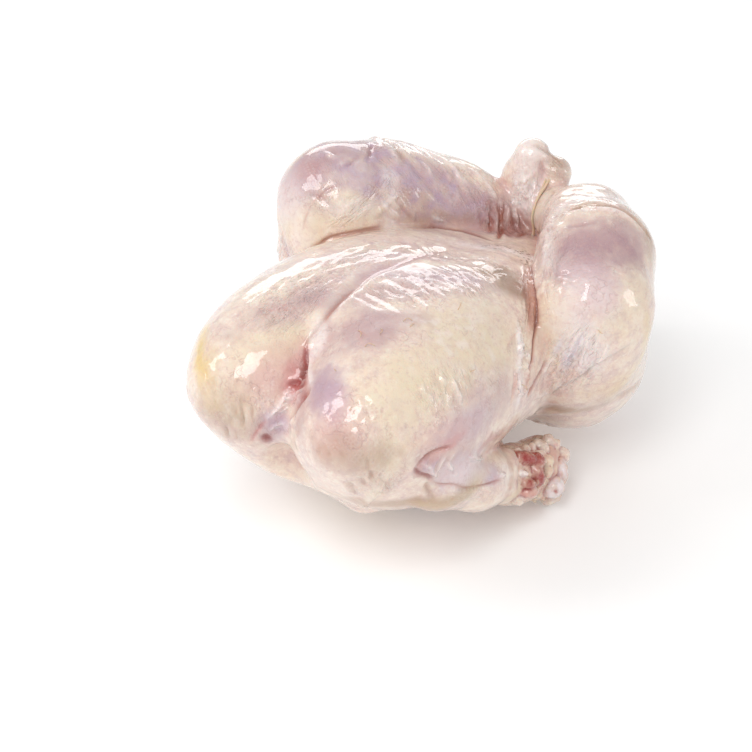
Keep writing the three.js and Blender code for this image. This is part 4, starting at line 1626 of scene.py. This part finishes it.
def tube(places, radius, sides=8, closed=False):
    """Vertices and faces of a round tube through the places."""
    places = np.asarray(places)
    if closed:
        tangents = np.roll(places, -1, axis=0) - np.roll(places, 1, axis=0)
    else:
        tangents = np.gradient(places, axis=0)
    tangents /= np.linalg.norm(tangents, axis=1)[:, None]
    first = np.cross(tangents, NEVER_ALONG)
    first /= np.linalg.norm(first, axis=1)[:, None]
    second = np.cross(tangents, first)
    rings = []
    for turn in np.arange(sides) * 2 * np.pi / sides:
        rings.append(places + radius * (first * np.cos(turn) + second * np.sin(turn)))
    vertices = np.stack(rings, axis=1).reshape(-1, 3)
    count = len(places)
    faces = []
    for i in range(count if closed else count - 1):
        for j in range(sides):
            a, b = i * sides + j, i * sides + (j + 1) % sides
            c, d = (i + 1) % count * sides + (j + 1) % sides, (i + 1) % count * sides + j
            faces.append((a, b, c, d))
    if not closed:
        faces.append(tuple(range(sides))[::-1])
        faces.append(tuple(range((count - 1) * sides, count * sides)))
    return vertices, faces


def gather_tubes(tubes):
    """Many tubes as one list of vertices and one of faces."""
    all_vertices, all_faces, start = [], [], 0
    for vertices, faces in tubes:
        all_vertices.append(vertices)
        all_faces += [tuple(start + corner for corner in face) for face in faces]
        start += len(vertices)
    return np.concatenate(all_vertices), all_faces


# %% A loop that lies on the ankles
TIE_CENTRE = (8, 76, 87)
TIE_AXIS = (-0.98, -0.04, 0.02)
TIE_START, TIE_REACH, TIE_STEP = 6, 15.5, 0.1        # mm along a ray, from the centre
TIE_RAYS = 56
STRANDS = [(0.0, 0.0, 0.60), (-1.5, 7.0, 0.48)]      # mm aside, degrees of lean, radius in mm


def loop_on_skin(aside, lean, radius):
    """Places all the way round the crossed ankles."""
    axis = turned((0, 0, lean)) @ dots(*TIE_AXIS)
    axis /= np.linalg.norm(axis)
    across = np.cross(axis, (0, 0, 1))
    across /= np.linalg.norm(across)
    upward = np.cross(across, axis)
    centre = np.array(TIE_CENTRE) + (aside, 0, 0)
    places = []
    for turn in np.linspace(0, 2 * np.pi, TIE_RAYS, endpoint=False):
        ray = across * np.cos(turn) + upward * np.sin(turn)
        reach = np.arange(TIE_START, TIE_REACH, TIE_STEP)
        outside = field((centre + reach[:, None] * ray).astype(np.float32)) > radius
        places.append(centre + ray * (reach[outside.argmax()] if outside.any() else TIE_REACH))
    places = np.array(places)
    for _ in range(2):
        places = (places + np.roll(places, 1, axis=0) + np.roll(places, -1, axis=0)) / 3
    return places


# %% Make the tie
strands = []
for aside, lean, radius in STRANDS:
    strands.append(tube(loop_on_skin(aside, lean, radius), radius, closed=True))
tie = make_mesh("tie", *gather_tubes(strands))
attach(tie, "root")
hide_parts("ankle_tie")
print("tie:", len(STRANDS), "strands,", len(tie.data.vertices), "vertices")

# %% [markdown]
# ## Hairs
#
# Plucking takes the feathers and leaves a few short hairs. Blender's hair curves would suit a
# whole coat, but a dozen are quicker as thin tubes. Each follows a line on the skin and rises
# from it in a low arch.

# %% A few hairs that plucking left
HAIR_RADIUS, HAIR_SIDES = 0.13, 5
HAIR_ROOT, HAIR_ARCH = 0.15, 0.9           # mm above the skin at the root, and more at the top
HAIR_TURN = np.pi * 0.8                    # how much of an arch the hair makes
HAIRS = [[(403, 322), (407, 320), (412, 322)], [(381, 329), (383, 332), (380, 335)],
         [(365, 347), (369, 345), (375, 347)], [(358, 331), (362, 334), (361, 338)],
         [(521, 384), (525, 388), (524, 392)], [(458, 310), (461, 303)],
         [(352, 407), (350, 411)], [(414, 324), (410, 328)], [(334, 369), (337, 372)],
         [(598, 330), (602, 333)], [(470, 372), (474, 370)]]

strokes = []
for path in HAIRS:
    places, directions = on_skin(path)
    lift = HAIR_ROOT + HAIR_ARCH * np.sin(np.linspace(0, HAIR_TURN, len(places)))
    strokes.append(tube(places + directions * lift[:, None], HAIR_RADIUS, HAIR_SIDES))
hairs = make_mesh("hairs", *gather_tubes(strokes))
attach(hairs, "root")
print(len(strokes), "hairs")

# %% [markdown]
# ## Shader maths as Python
#
# A material is a graph of nodes. Placing each node by hand in code takes many lines, so one
# small class wraps a socket and lends it Python's operators: `1 - mask` adds a Math node. Any
# other node comes from its method `add`. Colours are only ever mixed, because a Math node would
# turn them grey.

# %% A socket that can be calculated with


class Wire:
    """One output socket in a node tree."""

    def __init__(self, tree, socket=None):
        self.tree = tree
        self.socket = socket

    def add(self, kind, settings=None, inputs=None, output=0):
        """A new node: its settings first, then the values or links of its sockets."""
        node = self.tree.nodes.new(kind)
        for key, setting in (settings or {}).items():
            setattr(node, key, setting)
        for key, given in (inputs or {}).items():
            if isinstance(given, Wire):
                self.tree.links.new(given.socket, node.inputs[key])
            else:
                node.inputs[key].default_value = given
        return Wire(self.tree, node.outputs[output])

    def maths(self, operation, *values):
        """A Math node on these values."""
        return self.add("ShaderNodeMath", {"operation": operation}, dict(enumerate(values)))

    def __add__(self, other):
        return self.maths("ADD", self, other)

    __radd__ = __add__

    def __sub__(self, other):
        return self.maths("SUBTRACT", self, other)

    def __rsub__(self, other):
        return self.maths("SUBTRACT", other, self)

    def __mul__(self, other):
        return self.maths("MULTIPLY", self, other)

    __rmul__ = __mul__

    def step(self, low, high):
        """A smooth step from 0 at low to 1 at high."""
        settings = {"interpolation_type": "SMOOTHSTEP"}
        return self.add("ShaderNodeMapRange", settings, {0: self, 1: low, 2: high})

    def clamped(self):
        """The value, kept between 0 and 1."""
        return self.add("ShaderNodeClamp", None, {0: self})

    def crest(self, width):
        """1 where a noise passes through its middle value, 0 from `width` away from it."""
        middle = self - 0.5
        return middle.maths("ABSOLUTE", middle).step(width, 0.0)

    def mix(self, colour_a, colour_b):
        """colour_a where this value is 0, colour_b where it is 1."""
        settings = {"data_type": "RGBA"}
        return self.add("ShaderNodeMix", settings, {0: self, 6: colour_a, 7: colour_b}, 2)

    def noise(self, scale, detail, roughness=0.55):
        """Blender's noise at this place; the scale counts its cells in one unit."""
        inputs = {"Vector": self, "Scale": scale, "Detail": detail, "Roughness": roughness}
        return self.add("ShaderNodeTexNoise", None, inputs)

    def dotted(self, scale):
        """The distance to the nearest of many scattered dots."""
        inputs = {"Vector": self, "Scale": scale}
        return self.add("ShaderNodeTexVoronoi", {"feature": "F1"}, inputs)

    def feed(self, shader, name):
        """Link this value to one of the shader's own sockets."""
        self.tree.links.new(self.socket, shader.inputs[name])


def paint(red, green, blue):
    """A colour given as 0 to 255, as a picture shows it, in the linear light Blender uses."""
    shown = np.array([red, green, blue]) / 255
    linear = np.where(shown <= 0.04045, shown / 12.92, ((shown + 0.055) / 1.055) ** 2.4)
    return (*[float(v) for v in linear], 1.0)


print("middle grey in linear light:", round(paint(128, 128, 128)[0], 3))

# %% [markdown]
# ## Wet skin
#
# Each tone is mixed in by its own attribute, and noise breaks up its rim. Under the tones lies a
# coarse marbling of fat and flesh, and over them a fine one, with thin threads of veins and a few
# dark specks where feathers sat. Skin is wet, so it has a thin clear coat, and light sinks into
# it a few millimetres before it comes out again.

# %% The skin's material and its patterns
wet_skin = bpy.data.materials.new("wet skin")
wet_skin.use_nodes = True
skin_shader = wet_skin.node_tree.nodes["Principled BSDF"]
here = Wire(wet_skin.node_tree).add("ShaderNodeTexCoord", output=3)


def layer(name):
    """The values of an attribute on the mesh."""
    return here.add("ShaderNodeAttribute", {"attribute_name": name}, output=2)


blotch = here.noise(60.0, 5.0, 0.6)          # 60 cells in a metre
cells = here.noise(190.0, 4.0, 0.65)
marbling = here.noise(560.0, 5.0, 0.7)
grain = here.noise(1500.0, 2.0)
threads = here.noise(130.0, 3.0, 0.6).crest(0.022) * blotch.step(0.42, 0.58)
wet = layer("wet")
print(len(wet_skin.node_tree.nodes), "nodes for the patterns")

# %% The skin's colour
CREAM, ROSE = paint(235, 214, 196), paint(228, 202, 190)
FAT_CELL, FLESH_CELL = paint(242, 230, 212), paint(208, 180, 178)
FAT_GRAIN, FLESH_GRAIN = paint(248, 240, 228), paint(196, 152, 148)
VEIN, SPECK = paint(188, 146, 144), paint(138, 104, 84)
SKIN_TONES = {             # in the order in which they cover each other
    "fat": paint(228, 210, 182),
    "flesh": paint(178, 142, 147),
    "lilac": paint(186, 160, 180),
    "cool": paint(220, 212, 222),
    # The tan tone is partly the skin's own tan and partly painted shade, in creases and on
    # undersides.
    "tan": paint(180, 150, 126),
    "rust": paint(184, 104, 74),
    "yellow": paint(228, 198, 138),
    "pink": paint(204, 136, 132),
    "blood": paint(156, 52, 46),
    "shade": paint(112, 66, 54),
    # The pale tone is the skin's own whitish colour, and on crests, lips and tops also painted
    # highlight and sheen.
    "pale": paint(244, 232, 228),
}

colour = blotch.step(0.38, 0.62).mix(CREAM, ROSE)
colour = (cells.step(0.50, 0.64) * 0.55).mix(colour, FAT_CELL)
colour = (cells.step(0.49, 0.36) * 0.50).mix(colour, FLESH_CELL)
colour = (marbling.step(0.52, 0.68) * 0.40).mix(colour, FAT_GRAIN)
for name, tone in SKIN_TONES.items():
    uneven = layer(name) * (0.35 + 0.65 * cells + 0.65 * marbling)
    colour = uneven.clamped().mix(colour, tone)
colour = (marbling.step(0.54, 0.70) * 0.12).mix(colour, FAT_GRAIN)
colour = (marbling.step(0.48, 0.32) * 0.28).mix(colour, FLESH_GRAIN)
colour = (threads * 0.28).mix(colour, VEIN)
specks = here.dotted(560.0).step(0.40, 0.28) * layer("specks")
colour = specks.clamped().mix(colour, SPECK)
colour.feed(skin_shader, "Base Color")
print(len(SKIN_TONES), "tones in the skin's colour")

# %% The skin's gloss, and the light inside it
(0.40 - 0.14 * blotch - 0.12 * wet + 0.14 * grain).clamped().feed(skin_shader, "Roughness")
(0.75 + 0.5 * wet + 0.3 * blotch).clamped().feed(skin_shader, "Coat Weight")
EVEN_SETTINGS = {
    "Coat Roughness": 0.05,
    "Specular IOR Level": 0.35,
    "Subsurface Weight": 0.20,
    "Subsurface Radius": (1.0, 0.45, 0.3),
    "Subsurface Scale": 0.0012,
}
for name, setting in EVEN_SETTINGS.items():
    skin_shader.inputs[name].default_value = setting
print(len(EVEN_SETTINGS), "settings that are the same all over the skin")

# %% The skin's fine height: marbling, pores and the finest wrinkles
WRINKLES_ALONG, WRINKLES_ACROSS = 0.20, 0.62       # wrinkles in a millimetre, in the patch's frame
BUMP_STRENGTH, BUMP_DEPTH = 0.75, 0.0009

patch_frame = {0: layer("run") * WRINKLES_ALONG, 1: layer("side") * WRINKLES_ACROSS}
strip = here.add("ShaderNodeCombineXYZ", None, patch_frame)
wrinkles = strip.noise(1.0, 2.0, 0.5).crest(0.28) * layer("fine")
pores = here.dotted(330.0).step(0.0, 0.5)
height = 0.42 * cells + 0.28 * marbling + 0.08 * grain + 0.05 * pores
height = height + 1.1 * wrinkles - 0.18 * threads
bump_inputs = {"Strength": BUMP_STRENGTH, "Distance": BUMP_DEPTH, "Height": height}
here.add("ShaderNodeBump", None, bump_inputs).feed(skin_shader, "Normal")
for piece in [skin] + ends:
    piece.data.materials.append(wet_skin)
print(len(wet_skin.node_tree.nodes), "nodes in the whole material")

# %% [markdown]
# ## Elastic and hair
#
# The elastic is dull and the hairs are a little glossier. Both are only a millimetre thick or
# less and let some light through, so one even colour and some subsurface light are enough.

# %% Two thin, even materials


def thin_material(name, colour, roughness):
    """One even colour that lets some light through."""
    material = bpy.data.materials.new(name)
    material.use_nodes = True
    shader = material.node_tree.nodes["Principled BSDF"]
    shader.inputs["Base Color"].default_value = colour
    shader.inputs["Roughness"].default_value = roughness
    shader.inputs["Subsurface Weight"].default_value = 0.3
    shader.inputs["Subsurface Scale"].default_value = 0.001
    return material


tie.data.materials.append(thin_material("elastic", paint(218, 194, 166), 0.5))
hairs.data.materials.append(thin_material("hair", paint(210, 182, 144), 0.4))
print([material.name for material in bpy.data.materials])

# %% [markdown]
# ## Light
#
# Wet skin shows the lights in itself, so their shapes matter as much as their strength. A white
# room gives the milky sheen on everything that faces up and away. Four soft boxes give the
# bright spots: two in front, one to the right, and a wide low one behind for the far rims. The
# floor glows a little, as pale paper does between such lights.

# %% The floor
FLOOR_SIZE = 3.0           # metres
FLOOR_GREY = (0.86, 0.86, 0.86, 1)
FLOOR_ROUGHNESS = 0.7
FLOOR_GLOW = 0.16
WHITE = (1, 1, 1, 1)


def add_floor():
    """A pale floor under the bird."""
    half = FLOOR_SIZE / 2
    mesh = bpy.data.meshes.new("floor")
    corners = [(-half, -half, 0), (half, -half, 0), (half, half, 0), (-half, half, 0)]
    mesh.from_pydata(corners, [], [(0, 1, 2, 3)])
    floor = bpy.data.objects.new("floor", mesh)
    scene.collection.objects.link(floor)
    material = bpy.data.materials.new("floor")
    material.use_nodes = True
    shader = material.node_tree.nodes["Principled BSDF"]
    shader.inputs["Base Color"].default_value = FLOOR_GREY
    shader.inputs["Roughness"].default_value = FLOOR_ROUGHNESS
    shader.inputs["Emission Color"].default_value = WHITE
    shader.inputs["Emission Strength"].default_value = FLOOR_GLOW
    mesh.materials.append(material)
    floor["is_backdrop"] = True


add_floor()
print("floor:", FLOOR_SIZE, "m square")

# %% The soft boxes
LIGHTS = {                 # azimuth, height, distance in m, width, length in m, watts
    "front_box": (16, 51, 1.1, 0.32, 0.60, 4.2),
    "right_box": (112, 17, 1.2, 0.24, 0.40, 1.4),
    "left_box": (-47, 40, 1.2, 0.32, 0.54, 3.3),
    "back_box": (-143, 19, 1.5, 1.3, 0.40, 4.6),
}
LIT_PLACE = Vector((0, 0, 0.05))           # the middle of the bird, which every box faces


def add_light(name, azimuth, height, distance, width, length, watts):
    """A soft box that faces the bird, from an azimuth and a height in degrees."""
    data = bpy.data.lights.new(name, "AREA")
    data.shape = "RECTANGLE"
    data.size = width
    data.size_y = length
    data.energy = watts
    light = bpy.data.objects.new(name, data)
    a, h = np.radians(azimuth), np.radians(height)
    away = Vector((np.sin(a) * np.cos(h), -np.cos(a) * np.cos(h), np.sin(h)))
    light.location = LIT_PLACE + away * distance
    light.rotation_euler = away.to_track_quat("Z", "Y").to_euler()
    scene.collection.objects.link(light)


for name, setting in LIGHTS.items():
    add_light(name, *setting)
print(len(LIGHTS), "soft boxes")

# %% The white room
ROOM_STRENGTH = 0.61

world = bpy.data.worlds.new("room")
world.use_nodes = True
room = world.node_tree.nodes["Background"]
room.inputs["Color"].default_value = WHITE
room.inputs["Strength"].default_value = ROOM_STRENGTH
scene.world = world
print("room strength", ROOM_STRENGTH)

# %% [markdown]
# ## The two boxes
#
# The box of the solid bird and the box of all the pieces that show are printed one after the
# other. The skin and the tie may not grow out of the solid bird.

# %% Print the two boxes
both = {"cad": [list(corner) for corner in cad_box],
        "visual": [list(corner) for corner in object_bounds()]}
for name, (low, high) in both.items():
    print(name, "box, mm:", [round((b - a) / MM, 1) for a, b in zip(low, high)])
